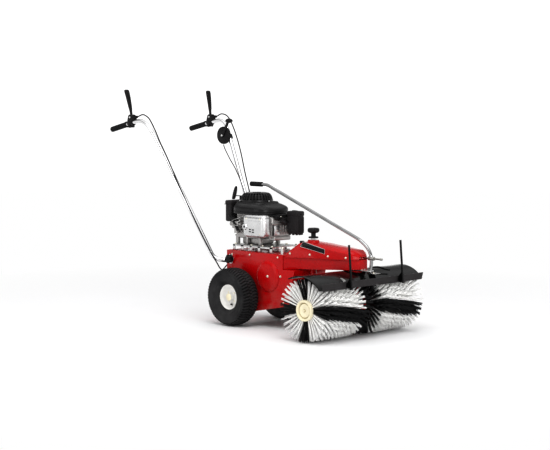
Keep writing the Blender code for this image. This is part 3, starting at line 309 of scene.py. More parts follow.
def machined(name, rgb, roughness=0.35):
    """Turned steel with a light film of rust and oil."""
    n = Nodes(name)
    rings = n.add(
        "ShaderNodeTexWave", settings={"wave_type": "RINGS", "rings_direction": "Z"},
        Vector=n.point, Scale=120.0, Distortion=0.6)
    colour = n.mix(n.span(n.noise(18.0, 6.0), 0.5, 0.8, 0.0, 0.6), rgb, (0.20, 0.13, 0.09))
    n.bump(rings, 0.08, 0.0004)
    gloss = n.span(rings, 0.0, 1.0, roughness, roughness * 1.3)
    return n.set(Base_Color=colour, Metallic=0.95, Roughness=gloss)


def rubber(name, rgb, roughness=0.62, dust=0.0):
    """Rubber with a powdery bloom. A per-point attribute, where the mesh has one, darkens it with painted
    shade in the tread's grooves.
    """
    n = Nodes(name)
    colour = n.mix(n.span(n.noise(26.0, 6.0), 0.3, 0.7), shade(rgb, 0.8), shade(rgb, 1.3))
    if dust:
        bloom = n.span(n.noise(9.0, 6.0), 0.38, 0.72, 0.0, dust)
        colour = n.mix(bloom, colour, (0.17, 0.165, 0.165))
        # Painted shade: darker rubber down in the tread's grooves.
        colour = n.mix(n.span(n.attribute("groove_shade"), 0.0, 1.0, 0.0, 0.75), colour, shade(rgb, 0.45))
    n.bump(n.noise(700.0, 3.0), 0.30, 0.0005)
    gloss = n.span(n.noise(40.0, 3.0), 0.3, 0.7, roughness * 0.85, roughness * 1.15)
    return n.set(Base_Color=colour, Roughness=gloss, Specular_IOR_Level=0.2)


def bristle(name, root, tip):
    """Filaments that vary from tuft to tuft, with painted shade that darkens them towards the core."""
    n = Nodes(name)
    tone = n.attribute("tuft")
    # Painted shade: the root colour, darker than the tip, fades out along the strand.
    colour = n.mix(n.span(n.attribute("reach"), 0.05, 0.75), root, tip)
    colour = n.mix(n.span(tone, 0.0, 1.0, 0.0, 0.45), colour, shade(root, 1.15))
    colour = n.mix(n.span(n.noise(30.0, 4.0), 0.45, 0.8, 0.0, 0.25), colour, shade(root, 0.8))
    n.bump(n.noise(900.0, 1.0), 0.2, 0.0004)
    return n.set(Base_Color=colour, Roughness=0.48, Specular_IOR_Level=0.25)


def floor_surface(name):
    """Matt white that turns into plain white light far from the object, so no horizon shows."""
    n = Nodes(name)
    n.set(
        Base_Color=n.mix(n.span(n.noise(0.6, 3.0), 0.3, 0.7), (0.82, 0.82, 0.825), (0.84, 0.84, 0.845)),
        Roughness=0.7, Specular_IOR_Level=0.1)
    distance = n.tree.nodes.new("ShaderNodeVectorMath")
    distance.operation = "LENGTH"
    n.tree.links.new(n.point, distance.inputs[0])
    glow = n.add("ShaderNodeEmission", Color=(1.0, 1.0, 1.0), Strength=1.0)
    blend = n.tree.nodes.new("ShaderNodeMixShader")
    n.link(n.span(distance.outputs["Value"], 1.1, 3.2), blend.inputs[0])
    n.tree.links.new(n.shader.outputs["BSDF"], blend.inputs[1])
    n.tree.links.new(glow, blend.inputs[2])
    n.tree.links.new(blend.outputs[0], n.tree.nodes["Material Output"].inputs["Surface"])
    return n.material


RED = paint("red_enamel", (0.46, 0.001, 0.003), coat=0.2, wear=(0.30, 0.03, 0.03), dust=0.35)
BLACK_GLOSS = paint("black_enamel", (0.003, 0.003, 0.0032), 0.16, 0.12, wear=(0.06, 0.06, 0.06), dust=0.25)
BAR_GREY = paint("bar_grey", (0.032, 0.029, 0.030), 0.45, 0.1, wear=(0.30, 0.30, 0.30), peel=0.35)
WHITE = paint("rim_enamel", (0.88, 0.87, 0.84), 0.30, 0.3, peel=0.10)
ZINC = plated("zinc_plate", (0.72, 0.72, 0.71))
BOLT_ZINC = plated("fastener_zinc", (0.80, 0.77, 0.68), 0.28, 90.0, 0.10)
ALUMINIUM = cast("cast_aluminium", (0.46, 0.45, 0.44))
BRIGHT_ALUMINIUM = cast("pressed_aluminium", (0.74, 0.74, 0.74), 0.30, 0.10, 0.95)
BLACK = plastic("black_plastic", (0.009, 0.0085, 0.009))
HOUSING = plastic("housing_plastic", (0.011, 0.0105, 0.011), 0.30, 0.14, 480.0, specular=0.30)
TANK = plastic("tank_plastic", (0.022, 0.020, 0.021), 0.46, 0.30)
CREAM = plastic("cream_plastic", (0.72, 0.665, 0.50), 0.40, 0.12, 500.0, (0.50, 0.43, 0.27))
# Painted shade: a dark tan for the shade at the bottom of the end cap's groove and round its bolt.
CREAM_GROOVE_SHADE = plastic("cream_painted_groove_shade", (0.33, 0.26, 0.12), 0.55, 0.2, 500.0, (0.33, 0.26, 0.12))
CHROME = chrome("chrome_tube")
# Painted shade: the tube chrome darkened for the steering tube.
SHADED_STEERING_CHROME = chrome("steering_chrome_painted_shade", 0.44)
DULL_ZINC = plated("dull_zinc", (0.40, 0.39, 0.37), 0.34, 60.0)
BADGE = plastic("badge_black", (0.004, 0.004, 0.005), 0.30, 0.05, 900.0, (0.03, 0.03, 0.03))
STEEL = machined("machined_steel", (0.46, 0.45, 0.44))
# The dust setting also turns on the painted shade in the tread's grooves.
TYRE = rubber("tyre_rubber", (0.015, 0.015, 0.016), 0.66, dust=0.22)
RUBBER = rubber("moulded_rubber", (0.012, 0.012, 0.0125), 0.60)
CABLE = plastic("cable_sleeve", (0.007, 0.007, 0.0075), 0.33, 0.10, 800.0, (0.05, 0.05, 0.05))
# Roots darker than tips: painted shade towards the core.
WHITE_BRISTLE = bristle("white_bristle", (0.93, 0.92, 0.90), (0.98, 0.98, 0.97))
BLACK_BRISTLE = bristle("black_bristle", (0.006, 0.006, 0.006), (0.014, 0.014, 0.015))
# Painted shade: a near-black that stands in for the shade inside openings and hollows.
RECESS_SHADE = plastic("painted_recess_shade", (0.005, 0.005, 0.005), 0.7, 0.2, 400.0, (0.02, 0.02, 0.02))
FLOOR = floor_surface("studio_white")


# Modelling helpers

def circle(count, turn=0.0):
    """Cosine and sine of evenly spaced angles."""
    angles = [2 * pi * k / count + turn for k in range(count)]
    return [(cos(angle), sin(angle)) for angle in angles]


def path(rows, side=1):
    """Vectors for rows of (x, forward, z). side is -1 for the mirrored path."""
    return [at(side * x, forward, z) for x, forward, z in rows]


def towards(direction):
    return Vector(direction).to_track_quat("Z", "Y").to_matrix()


def smooth_route(points, spacing):
    """Evenly walked points on a curve that runs through the given ones."""
    padded = [2 * points[0] - points[1], *points, 2 * points[-1] - points[-2]]
    route = [points[0]]
    for a, b, c, d in zip(padded, padded[1:], padded[2:], padded[3:]):
        count = max(1, int((c - b).length / spacing + 0.5))
        for i in range(1, count + 1):
            t = i / count
            bend = (2 * a - 5 * b + 4 * c - d) * t ** 2 + (3 * b - a - 3 * c + d) * t ** 3
            route.append(0.5 * (2 * b + (c - a) * t + bend))
    return route


def eased(value, low, high):
    """0 below low, 1 above high, and smooth between them."""
    share = min(1.0, max(0.0, (value - low) / (high - low)))
    return share * share * (3 - 2 * share)


def mirrored(half):
    """A profile that is the same above and below height 0."""
    return half + [(radius, -height) for radius, height in reversed(half)]


def ridges(starts, shape):
    """A profile that repeats a shape of (radius, height) points."""
    return [(radius, start + height) for start in starts for radius, height in shape]


def add_object(name, mesh):
    obj = bpy.data.objects.new(name, mesh)
    bpy.context.scene.collection.objects.link(obj)
    return obj


def assign(obj, body, slot, *stands_for):
    """Rides a piece on a body and lets it stand for CAD nodes."""
    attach(obj, body)
    if stands_for:
        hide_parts(*stands_for)
    return obj


def soften(obj, width, angle):
    """Rounds the edges that are sharper than an angle in degrees."""
    bevel = obj.modifiers.new("edges", "BEVEL")
    bevel.width = width
    bevel.segments = 2
    bevel.limit_method = "ANGLE"
    bevel.angle_limit = radians(angle)
    bevel.harden_normals = True


def carve(obj, cutter):
    """Cuts one made object out of another for good, and removes the cutter."""
    modifier = obj.modifiers.new("cut", "BOOLEAN")
    modifier.operation = "DIFFERENCE"
    modifier.object = cutter
    modifier.solver = "EXACT"
    graph = bpy.context.evaluated_depsgraph_get()
    mesh = bpy.data.meshes.new_from_object(obj.evaluated_get(graph))
    obj.modifiers.clear()
    obj.data = mesh
    bpy.data.objects.remove(cutter, do_unlink=True)


class Mesher:
    """Gathers the geometry of one piece, in millimetres."""

    def __init__(self, material):
        self.bm = bmesh.new()
        self.materials = []
        self.use(material)

    def use(self, material):
        """Sets the material of the parts added next."""
        if material not in self.materials:
            self.materials.append(material)
        self.index = self.materials.index(material)
        return self

    def face(self, *corners):
        made = self.bm.faces.new(corners)
        made.material_index = self.index

    def skin(self, rings, loop=False, caps=True):
        """Faces between closed rings of points. A ring of one point is a pole."""
        rows = [[self.bm.verts.new(point) for point in ring] for ring in rings]
        pairs = list(zip(rows, rows[1:]))
        if loop:
            pairs.append((rows[-1], rows[0]))
        for a, b in pairs:
            count = max(len(a), len(b))
            if count == 1:
                continue
            for i in range(count):
                j = (i + 1) % count
                if len(a) == 1:
                    self.face(a[0], b[j], b[i])
                elif len(b) == 1:
                    self.face(a[i], a[j], b[0])
                else:
                    self.face(a[i], a[j], b[j], b[i])
        for row in (rows[0], rows[-1]):
            if caps and not loop and len(row) > 2:
                self.face(*row)
        return self

    def lathe(self, profile, centre, axis, steps=40, loop=False, turn=0.0):
        """A profile of (radius, height) points turned about an axis."""
        place = Matrix.Translation(centre) @ towards(axis).to_4x4()
        rings = []
        for radius, height in profile:
            around = circle(steps, turn) if radius else [(0, 0)]
            rings.append([place @ Vector((radius * c, radius * s, height)) for c, s in around])
        return self.skin(rings, loop)

    def rod(self, radius, start, end, centre, axis, steps=24):
        return self.lathe([(0, start), (radius, start), (radius, end), (0, end)], centre, axis, steps)

    def sleeve(self, inner, outer, start, end, centre, axis, steps=28):
        profile = [(inner, start), (outer, start), (outer, end), (inner, end)]
        return self.lathe(profile, centre, axis, steps, loop=True)

    def tube(self, points, radius, sides=16, across=LEFT):
        """A tube along the points. radius is one number, or (across, other) for each point."""
        rings = []
        for i, point in enumerate(points):
            ahead = points[min(i + 1, len(points) - 1)] - points[max(i - 1, 0)]
            ahead.normalize()
            u = Vector(across)
            u = (u - ahead * u.dot(ahead)).normalized()
            v = ahead.cross(u)
            wide, deep = radius[i] if isinstance(radius, list) else (radius, radius)
            rings.append([point + u * (wide * c) + v * (deep * s) for c, s in circle(sides)])
        return self.skin(rings)

    def block(self, x, forward, z, width=3, segments=3, turn=None):
        """A box with rounded edges. turn is a matrix about the box's middle."""
        part = bmesh.new()
        bmesh.ops.create_cube(part, size=1.0)
        middle = at(sum(x) / 2, sum(forward) / 2, sum(z) / 2)
        size = Vector((x[1] - x[0], forward[1] - forward[0], z[1] - z[0]))
        bmesh.ops.scale(part, vec=size, verts=part.verts)
        bmesh.ops.bevel(
            part, geom=list(part.edges), offset=width, segments=segments, affect="EDGES", profile=0.5)
        place = Matrix.Translation(middle) @ (turn.to_4x4() if turn else Matrix.Identity(4))
        bmesh.ops.transform(part, matrix=place, verts=part.verts)
        for face in part.faces:
            face.material_index = self.index
        mesh = bpy.data.meshes.new("part")
        part.to_mesh(mesh)
        part.free()
        self.bm.from_mesh(mesh)
        bpy.data.meshes.remove(mesh)
        return self

    def slab(self, outline, start, end):
        """An outline of (forward, z) points given thickness along x."""
        return self.skin([path([(x, forward, z) for forward, z in outline]) for x in (start, end)])

    def bolt(self, seat, axis, size=6, flange=True):
        """A hexagon head on a flange, with a shallow dome on top."""
        collar = [(0, -0.2), (1.25, -0.2), (1.25, 0.12), (1.05, 0.26), (0, 0.26)]
        head = [(0, 0), (0.93, 0), (0.93, 0.75), (0.78, 0.9), (0.3, 0.95), (0, 0.92)]
        if flange:
            self.lathe([(size * r, size * h) for r, h in collar], seat, axis, 20)
        self.lathe([(size * r, size * h) for r, h in head], seat, axis, 6, turn=0.3)
        return self

    def bolts(self, seats, axis, size):
        for seat in path(seats):
            self.bolt(seat, axis, size)
        return self

    def make(self, name, sharp=36, attributes=None):
        """The gathered object, smooth apart from edges over the sharp angle."""
        bmesh.ops.recalc_face_normals(self.bm, faces=self.bm.faces)
        bmesh.ops.scale(self.bm, vec=(MM, MM, MM), verts=self.bm.verts)
        mesh = bpy.data.meshes.new(name)
        self.bm.to_mesh(mesh)
        self.bm.free()
        for material in self.materials:
            mesh.materials.append(material)
        mesh.shade_smooth()
        mesh.set_sharp_from_angle(angle=radians(sharp))
        for key, values in (attributes or {}).items():
            mesh.attributes.new(key, "FLOAT", "POINT").data.foreach_set("value", values)
        return add_object(name, mesh)

    def piece(self, name, body, slot, *stands_for, **options):
        return assign(self.make(name, **options), body, slot, *stands_for)


# Wheels

LUGS = 56
SAMPLES_PER_LUG = 8
TREAD_DEPTH = 6.2
TREAD_EDGE = 146.5               # radius where the tread ends and the plain sidewall starts
TYRE_HALF = [
    # radius, distance from the middle: tread, shoulder, ribbed sidewall and bead
    (165, 0), (164.8, 14), (163.8, 26), (162, 36), (159, 45), (154.5, 52.5), (148.5, 57.5), (140, 60),
    (138.5, 61.2), (136, 61.2), (134.5, 60.2), (125, 60.5), (112, 60), (100, 58), (98.5, 58.8),
    (96, 58.6), (94.5, 56.8), (86, 52), (77.5, 44), (73.5, 37.5), (71.2, 33), (71.2, 25),
]
RIM_SECTION = [
    # radius, distance from the middle: outer face, well, and back of the disc
    (AXLE_RADIUS + 0.4, 30), (20, 30), (21.5, 28.5), (22.5, 13), (24.5, 11.5), (48, 10), (54.5, 12.5),
    (60, 22.5), (63, 26.2), (67.5, 28.5), (70.5, 33), (73.5, 35.2), (74.5, 33.5), (72.2, 30),
    (70.2, 24.5), (70.2, -24.5), (72.2, -30), (74.5, -33.5), (73.5, -35.2), (70.5, -33), (67, -28.5),
    (64, 0), (56, 6.5), (23, 6.5), (21.5, -22), (AXLE_RADIUS + 0.4, -22),
]


def tread_depth(phase, radius, offset):
    """How deep the tread is cut at a place on the tyre. Slanted shoulder lugs start 20 mm from the
    middle, staggered blocks lie inside them, and ring grooves run beside both."""
    reach = abs(offset)
    if radius < TREAD_EDGE:
        return 0
    slant = (reach - 20) * 0.014
    shoulder = 0.5 + 0.5 * cos(2 * pi * (phase + slant + (0.5 if offset < 0 else 0.0)))
    middle = 0.5 + 0.5 * cos(2 * pi * (phase + 0.25 * copysign(1, offset)))
    lug = eased(shoulder, 0.45, 0.75) * eased(reach, 19.5, 21.5)
    block = eased(middle, 0.60, 0.85) * eased(reach, 2, 4) * (1 - eased(reach, 16.5, 18.5))
    rings = exp(-((reach - 19) / 1.1) ** 2) + 0.8 * exp(-(reach - 1.2) ** 2)
    return TREAD_DEPTH * min(1.0, max(lug, block, rings)) * eased(radius, TREAD_EDGE, 152)


def tyre(side, name):
    """A turf tyre: slanted shoulder lugs, staggered centre blocks and a plain ribbed sidewall."""
    fine = []
    for (r0, w0), (r1, w1) in zip(TYRE_HALF, TYRE_HALF[1:]):
        plain = w0 > 59 or r0 < 147
        count = 1 if plain else max(1, round(hypot(r1 - r0, w1 - w0) / 1.9))
        fine += [(r0 + (r1 - r0) * k / count, w0 + (w1 - w0) * k / count) for k in range(count)]
    fine.append(TYRE_HALF[-1])
    profile = [(r, -w) for r, w in reversed(fine[1:])] + fine
    centre = at(side * WHEEL_SPACING, 0, WHEEL_RADIUS)
    place = Matrix.Translation(centre) @ towards((side, 0, 0)).to_4x4()
    rings, grooves = [], []
    for radius, offset in profile:
        ring = []
        outward = Vector((radius - 105, offset * 0.9)).normalized()
        for i, (c, s) in enumerate(circle(LUGS * SAMPLES_PER_LUG)):
            depth = tread_depth(i / SAMPLES_PER_LUG, radius, offset)
            r = radius - depth * outward.x
            w = offset - depth * outward.y
            ring.append(place @ Vector((r * c, r * s, w)))
            # The cut depth also sets the painted shade in the grooves.
            grooves.append(min(1.0, depth / 4.5))
        rings.append(ring)
    Mesher(TYRE).skin(rings, loop=True).piece(
        "tyre_tread_" + name, "wheel_" + name, "tyre_rubber", "tyre_" + name, sharp=50,
        attributes={"groove_shade": grooves})


def rim(side, name):
    """A dished rim with a valve slot, its valve, a hub cap and four rivets."""
    centre = at(side * WHEEL_SPACING, 0, WHEEL_RADIUS)
    axis = (side, 0, 0)
    dish = Mesher(WHITE).lathe(RIM_SECTION, centre, axis, 72, loop=True).piece(
        "rim_dish_" + name, "wheel_" + name, "white_paint", "rim_" + name, sharp=60)
    seat = centre + Vector((0, 6 * side, -47))
    slot = Mesher(RECESS_SHADE).block(
        (seat.x - 30, seat.x + 30), (-seat.y - 10.5, -seat.y + 10.5), (seat.z - 3, seat.z + 3),
        2.8, 3, Matrix.Rotation(-0.28 * side, 3, "X"))
    carve(dish, slot.make("slot_cutter"))
    hub = Mesher(CREAM)
    hub.lathe(
        [(13.5, -0.2), (20.5, -0.2), (21.2, 1.2), (20.5, 3), (15, 4.2), (6, 4.6), (0, 4.6), (0, 3.5),
         (13.5, 3.5)], centre + Vector((side * 30.2, 0, 0)), axis, 36)
    stem = [seat + Vector(offset) for offset in ((side * 6, 3, 0), (side * 16, 1, 4), (side * 26, -3, 6))]
    hub.use(RUBBER).tube(stem, [(4.2, 4.2), (3.8, 3.8), (3, 3)], 12, across=UP)
    hub.use(CREAM)
    for c, s in circle(4, pi / 4):
        spot = centre + Vector((side * 11.2, 34 * c, 34 * s))
        hub.lathe([(0, 0), (4.2, 0), (3.6, 1.6), (0, 2)], spot, axis, 14)
    hub.piece("hub_cap_" + name, "wheel_" + name, "white_paint")


def caster_wheel():
    centre = at(0, CASTER_AXLE_FORWARD, CASTER_RADIUS)
    tread = [(50, 12), (60, 16.5), (69, 15.5), (73.5, 11.5), (75, 5)]
    disc = [(5.5, 17.5), (16, 17.5), (17.5, 10), (40, 7), (47.5, 11), (49.8, 11)]
    body = Mesher(RUBBER).lathe(mirrored(tread), centre, LEFT, 56, loop=True)
    body.use(WHITE).lathe(mirrored(disc), centre, LEFT, 56, loop=True)
    body.piece("caster_roller", "caster_roller", "rubber", "caster_wheel", sharp=40)


# Roller brush

TUFT_RINGS = 20                  # along each half
TUFT_ROWS = 36                   # round the core
STRANDS = 11                     # in each tuft
STRAND_SIDES = 3
STRAND_RADII = (1.7, 1.6, 1.3)   # at the root, the middle and the tip
STRAND_REACH = (0.0, 0.55, 1.0)
ROW_SWEEP = 20                   # degrees that a row winds over one half
ROW_START = {-1: -375, 1: BRUSH_INNER_END}   # x where the rows of each half start to wind
LEAN_IN = (40, 26, 12)           # tips over the gearbox, from the innermost ring
LEAN_OUT = (3, 8, 16, 27)        # tips that splay, up to the outermost ring


def ring_lean(ring, side):
    """How far the tips of a ring of tufts lean along the brush."""
    from_end = TUFT_RINGS - 1 - ring
    if ring < len(LEAN_IN):
        return -side * LEAN_IN[ring]
    if from_end < len(LEAN_OUT):
        return side * LEAN_OUT[-1 - from_end]
    return 0


def add_strand(points, faces, spine):
    """One filament as a prism through three points. Its root end is buried, so it has no cap."""
    first = len(points)
    ahead = (spine[-1] - spine[0]).normalized()
    u = ahead.orthogonal().normalized()
    v = ahead.cross(u)
    for point, radius in zip(spine, STRAND_RADII):
        points += [point + u * (radius * c) + v * (radius * s) for c, s in circle(STRAND_SIDES)]
    last = first + (len(spine) - 1) * STRAND_SIDES
    for a in range(first, last, STRAND_SIDES):
        b = a + STRAND_SIDES
        for k in range(STRAND_SIDES):
            j = (k + 1) % STRAND_SIDES
            faces.append((a + k, a + j, b + j, b + k))
    faces.append(tuple(last + k for k in range(STRAND_SIDES)))


def bristle_half(side, name):
    """Tufts set round a core. Black and white rows wind slightly, the outer tufts splay out and
    the inner ones lean in over the gearbox. Tips stop just above the floor."""
    rng = random.Random(20 + side)
    span = BRUSH_OUTER_END - BRUSH_INNER_END
    points, faces, tone, reach, kinds = [], [], [], [], []
    for ring in range(TUFT_RINGS):
        x = side * (BRUSH_INNER_END + span * (ring / (TUFT_RINGS - 1)))
        axis_point = at(x, BRUSH_FORWARD, BRUSH_AXIS_Z)
        twist = ROW_SWEEP / 2 - ROW_SWEEP * (x - ROW_START[side]) / span
        for row in range(TUFT_ROWS):
            base = row * 360 / TUFT_ROWS + (ring % 2) * 2.5
            black = (base + 20) % 90 < 30 or ring < 2
            turn = radians(base + twist + rng.uniform(-0.8, 0.8))
            out = Vector((0, -cos(turn), sin(turn)))
            across = Vector((0, sin(turn), cos(turn)))
            root = axis_point + out * (BRUSH_CORE - 4)
            under_neck = ring < 3 and abs(degrees(turn) % 360 - 90) < 30
            lean = ring_lean(ring, side) * (0.45 if under_neck else 1.0) + rng.uniform(-1.5, 1.5)
            spread = 8.2 if black and ring >= 2 else 6.2
            tuft_tone = rng.random()
            for _ in range(STRANDS):
                along, around = rng.uniform(-1, 1), rng.uniform(-1, 1)
                length = BRUSH_RADIUS * rng.uniform(0.965, 1.0) - abs(lean) * 0.10
                start = root + Vector((along * 2, 0, 0)) + across * around * 2
                end = axis_point + Vector((lean + along * 4, 0, 0)) + out * length + across * around * spread
                end.z = max(end.z, 1.2 + rng.random() * 1.5)
                middle = start.lerp(end, 0.55) - Vector((lean * 0.10, 0, 0))
                add_strand(points, faces, (start, middle, end))
                kinds += [int(black)] * (2 * STRAND_SIDES + 1)
                strand_tone = min(1.0, max(0.0, tuft_tone + rng.uniform(-0.25, 0.25)))
                tone += [strand_tone] * (3 * STRAND_SIDES)
                reach += [share for share in STRAND_REACH for _ in range(STRAND_SIDES)]
    mesh = bpy.data.meshes.new("bristles_" + name)
    mesh.from_pydata([point * MM for point in points], [], faces)
    mesh.materials.append(WHITE_BRISTLE)
    mesh.materials.append(BLACK_BRISTLE)
    mesh.polygons.foreach_set("material_index", kinds)
    # reach runs from 0 at the root to 1 at the tip, and sets the painted shade towards the core.
    for key, values in (("tuft", tone), ("reach", reach)):
        mesh.attributes.new(key, "FLOAT", "POINT").data.foreach_set("value", values)
    mesh.shade_smooth()
    assign(add_object("bristles_" + name, mesh), "brush", "bristles", "brush_" + name)


def brush_core(side, name):
    """The grooved core of one half, and its dished end cap with a bolt."""
    axis = (side, 0, 0)
    grooves = ridges([16.2 * k for k in range(1, 20)], [(46, -1.2), (44.5, 0), (46, 1.2)])
    profile = [(15.5, 0), (44, 0), (46, 2), *grooves, (46, 312.5), (44, 314.5), (15.5, 314.5)]
    core = Mesher(BLACK)
    core.lathe(profile, at(side * 56.5, BRUSH_FORWARD, BRUSH_AXIS_Z), axis, 40, loop=True)
    core.piece("brush_core_" + name, "brush", "black_plastic")
    seat = at(side * 373.3, BRUSH_FORWARD, BRUSH_AXIS_Z)
    cap = Mesher(CREAM).lathe(
        [(0, 0), (55.5, 0), (57.2, 1.5), (57.2, 13.5), (55.8, 16.2), (53, 17.2), (47, 17.2), (44.5, 16),
         (41.5, 5), (0, 5)], seat, axis, 72)
    # Painted shade: dark tan discs at the bottom of the cap's groove and round the bolt.
    cap.use(CREAM_GROOVE_SHADE).rod(41.8, 4.9, 5.8, seat, axis, 60)
    cap.use(CREAM).lathe(
        [(0, 5.5), (34.5, 5.5), (37.2, 6.8), (38, 9), (36.2, 10.8), (32, 11.6), (14, 11), (12, 9.8),
         (0, 9.8)], seat, axis, 60)
    cap.use(CREAM_GROOVE_SHADE).rod(7.8, 9.8, 10.6, seat, axis, 24)
    cap.use(CREAM).bolt(seat + Vector((side * 10.4, 0, 0)), axis, 5.8, flange=False)
    cap.piece("end_cap_" + name, "brush", "cream_plastic", "brush_cap_" + name)


# Brush head

HOOD_REAR_ANGLE = -27            # degrees from straight up
HOOD_FRONT_ANGLE = 50
BAR_TOP, BAR_BOTTOM = 326, 288   # heights of the front bar's edges
BAR_TOP_HALF, BAR_BOTTOM_HALF = 415, 402


def hood():
    """A curved sheet with rolled lips and faint dents, cut out round the gearbox neck."""
    start, end, steps = radians(HOOD_REAR_ANGLE), radians(HOOD_FRONT_ANGLE), 42
    outer, inner = [], []
    for i in range(steps + 1):
        angle = start + (end - start) * i / steps
        lip = 1.2 * (1 - eased(i, 0, 2)) + 1.2 * eased(i, steps - 2, steps)
        for ring, radius in ((outer, HOOD_RADIUS + lip), (inner, HOOD_RADIUS - 3 - lip)):
            ring.append((BRUSH_FORWARD + radius * sin(angle), BRUSH_AXIS_Z + radius * cos(angle)))
    section = outer + inner[::-1]
    edge = (HOOD_HALF_WIDTH, HOOD_HALF_WIDTH - 1.5)
    between = [-418 + 836 * k / 60 for k in range(1, 60)]
    rings = []
    for x in (-edge[0], -edge[1], *between, edge[1], edge[0]):
        drop = 0.6 if abs(x) == HOOD_HALF_WIDTH else 0
        dent = 0.7 * sin(x * 0.023) * cos(x * 0.009)
        rings.append([at(x, f, z + dent - drop) for f, z in section])
    sheet = Mesher(BLACK_GLOSS).skin(rings).piece(
        "hood_sheet", "brush_head", "black_paint", "brush_hood", sharp=40)
    neck = Mesher(BLACK_GLOSS).rod(60, 320, 380, at(0, BRUSH_FORWARD, 0), UP, 48)
    carve(sheet, neck.make("neck_cutter"))


def front_bar():
    """A grey bar that narrows downwards, and two posts on gussets."""
    low, high, count = BAR_BOTTOM, BAR_TOP, 60
    back, front = BAR_FORWARD, BAR_FORWARD + 4
    rings = []
    for i in range(count + 1):
        share = 2 * i / count - 1
        x_high, x_low = BAR_TOP_HALF * share, BAR_BOTTOM_HALF * share
        ripple = 0.5 * sin(i * 0.9)
        rings.append(path([
            (x_high, back, high - 1), (x_high, back + 1, high), (x_high, front - 1, high),
            (x_high, front, high - 1), (x_low, front + ripple, low + 1), (x_low, front - 1, low),
            (x_low, back + 1, low), (x_low, back, low + 1)]))
    body = Mesher(BAR_GREY).skin(rings).use(BLACK_GLOSS)
    for side in (-1, 1):
        x = side * 210
        bottom, top = at(x, 914, 284), at(x, 894, 520)
        post = [(0, 0), (5.2, 0), (6, 1), (6, 235.5), (5, 236.8), (0, 236.8)]
        body.lathe(post, bottom, top - bottom, 24)
        body.slab([(886, 290), (913, 286), (910, 352), (904, 346), (886, 324)], x - 2, x + 2)
        body.slab([(889.2, 296), (892.5, 296), (892.5, 320), (889.2, 320)], x - 16, x + 16)
    body.piece("bar_and_posts", "brush_head", "black_paint", "front_bar", sharp=32)


def hood_fittings():
    """The strut and the lever's bracket on the hood, and the spring behind the bar."""
    strut = [(58, 800, 364), (88, 804, 372), (130, 812, 370), (165, 822, 358), (195, 830, 352)]
    Mesher(BLACK_GLOSS).tube(smooth_route(path(strut), 6), 5, 16, across=UP).piece(
        "strut_rod", "brush_head", "black_paint", "hood_strut")
    plate = Mesher(ZINC)
    plate.block((-20, 20), (795, 868), (360.5, 365.5), 1, 2)
    plate.block((30, 82), (820, 864), (342, 345), 1, 2)
    plate.use(BOLT_ZINC).bolts([(-10, 806, 365.5), (12, 806, 365.5)], UP, 6)
    plate.bolt(at(48, 842, 345), UP, 5.5)
    plate.piece("lever_bracket", "brush_head", "zinc")
    coil = []
    for i in range(90):
        turn = i * 2 * pi / 12
        wave = 4.5 * sin(turn)
        coil.append((-214 + 4.5 * cos(turn), 846 + wave * 0.6 + 0.3 * i, 336.5 + wave - 0.12 * i))
    spring = Mesher(ZINC).tube(path(coil), 1, 8, across=(0.3, 0.2, 1))
    spring.tube(path([(-214, 838, 340), (-222, 866, 328), (-232, 884, 318)]), 1.4, 8)
    spring.piece("hood_spring", "brush_head", "zinc")


STEERING_LINE = [
    (0, 850, 345), (0, 862, 372), (0, 868, 415), (0, 860, 455), (0, 836, 490), (0, 800, 516),
    (0, 760, 536), (0, 600, 597), (0, 350, 693), (0, 100, 789), (0, 72, 798), (0, 45, 801), (0, -55, 801),
]


def steering():
    """The bent steering tube with its collars and grip, and the lock pin."""
    lever = Mesher(SHADED_STEERING_CHROME).tube(smooth_route(path(STEERING_LINE), 8), STEER_TUBE_RADIUS, 28)
    lever.use(DULL_ZINC).lathe(
        [(5, 0), (10, 0), (10.5, 1), (10.5, 39), (10, 40), (5, 40)], at(0, 848, LOCK_PIN_Z), FRONT, 28,
        loop=True)
    lever.sleeve(9.2, 13.5, 0, 10, at(0, 851.5, 366.5), (0, -12, 26), 28)
    lever.piece("steering_tube", "brush_head", "chrome", "steer_lever")
    ribs = ridges([8 + 5.4 * k for k in range(14)], [(12.9, 0), (13.9, 1.1), (13.9, 3), (12.9, 4.2)])
    profile = [
        (9.2, 0), (12.8, 0), (14, 1.2), (14, 4.5), (12.9, 5.8), *ribs, (13.1, 86), (14, 87.2), (13.8, 90),
        (11.5, 91.8), (0, 92), (0, 87.5), (9.2, 87.5)]
    Mesher(RUBBER).lathe(profile, at(0, 30, 801), BACK, 36).piece(
        "steering_grip", "brush_head", "rubber", "steer_grip", sharp=50)
    Mesher(DULL_ZINC).lathe(
        [(0, 0), (3.2, 0), (4.5, 2), (4.5, 113), (5, 113.5), (6.2, 115), (6.2, 128), (5, 129.8), (0, 130)],
        at(0, 815, LOCK_PIN_Z), FRONT, 28).piece("lock_plunger", "lock", "zinc", "lock_pin")


def height_knob():
    """A six-lobed knob on a threaded spindle, with two collars and a nut."""
    base = at(0, SPINDLE_FORWARD, 0)
    rings = []
    for height, radius, depth in (
        (543, 14, 0), (546.2, 26, 0), (551, 32.2, 3), (559, 33.5, 4), (566, 33, 3.6), (570.2, 29, 1.8),
        (572, 24, 0), (572, 10, 0),
    ):
        ring = []
        for k, (c, s) in enumerate(circle(60)):
            r = radius - depth * (0.5 + 0.5 * cos(6 * 2 * pi * k / 60)) ** 2
            ring.append(base + Vector((r * c, r * s, height)))
        rings.append(ring)
    knob = Mesher(BLACK).skin(rings)
    knob.lathe([(8.5, 524), (14, 524), (12.5, 533), (14, 543), (8.5, 543)], base, UP, 32, loop=True)
    knob.lathe(
        [(8.5, 515), (26.2, 515), (27.5, 516.5), (27.5, 521.5), (26.2, 523.2), (8.5, 523.5)],
        base, UP, 40, loop=True)
    knob.use(ZINC).lathe([(0, 235), (6.5, 235), (8, 237), (8, 544), (0, 544)], base, UP, 28)
    knob.sleeve(8, 12, 505.7, 514.5, base, UP, 6)
    knob.piece("height_spindle", "height_screw", "black_plastic", "height_knob", sharp=40)


# Engine

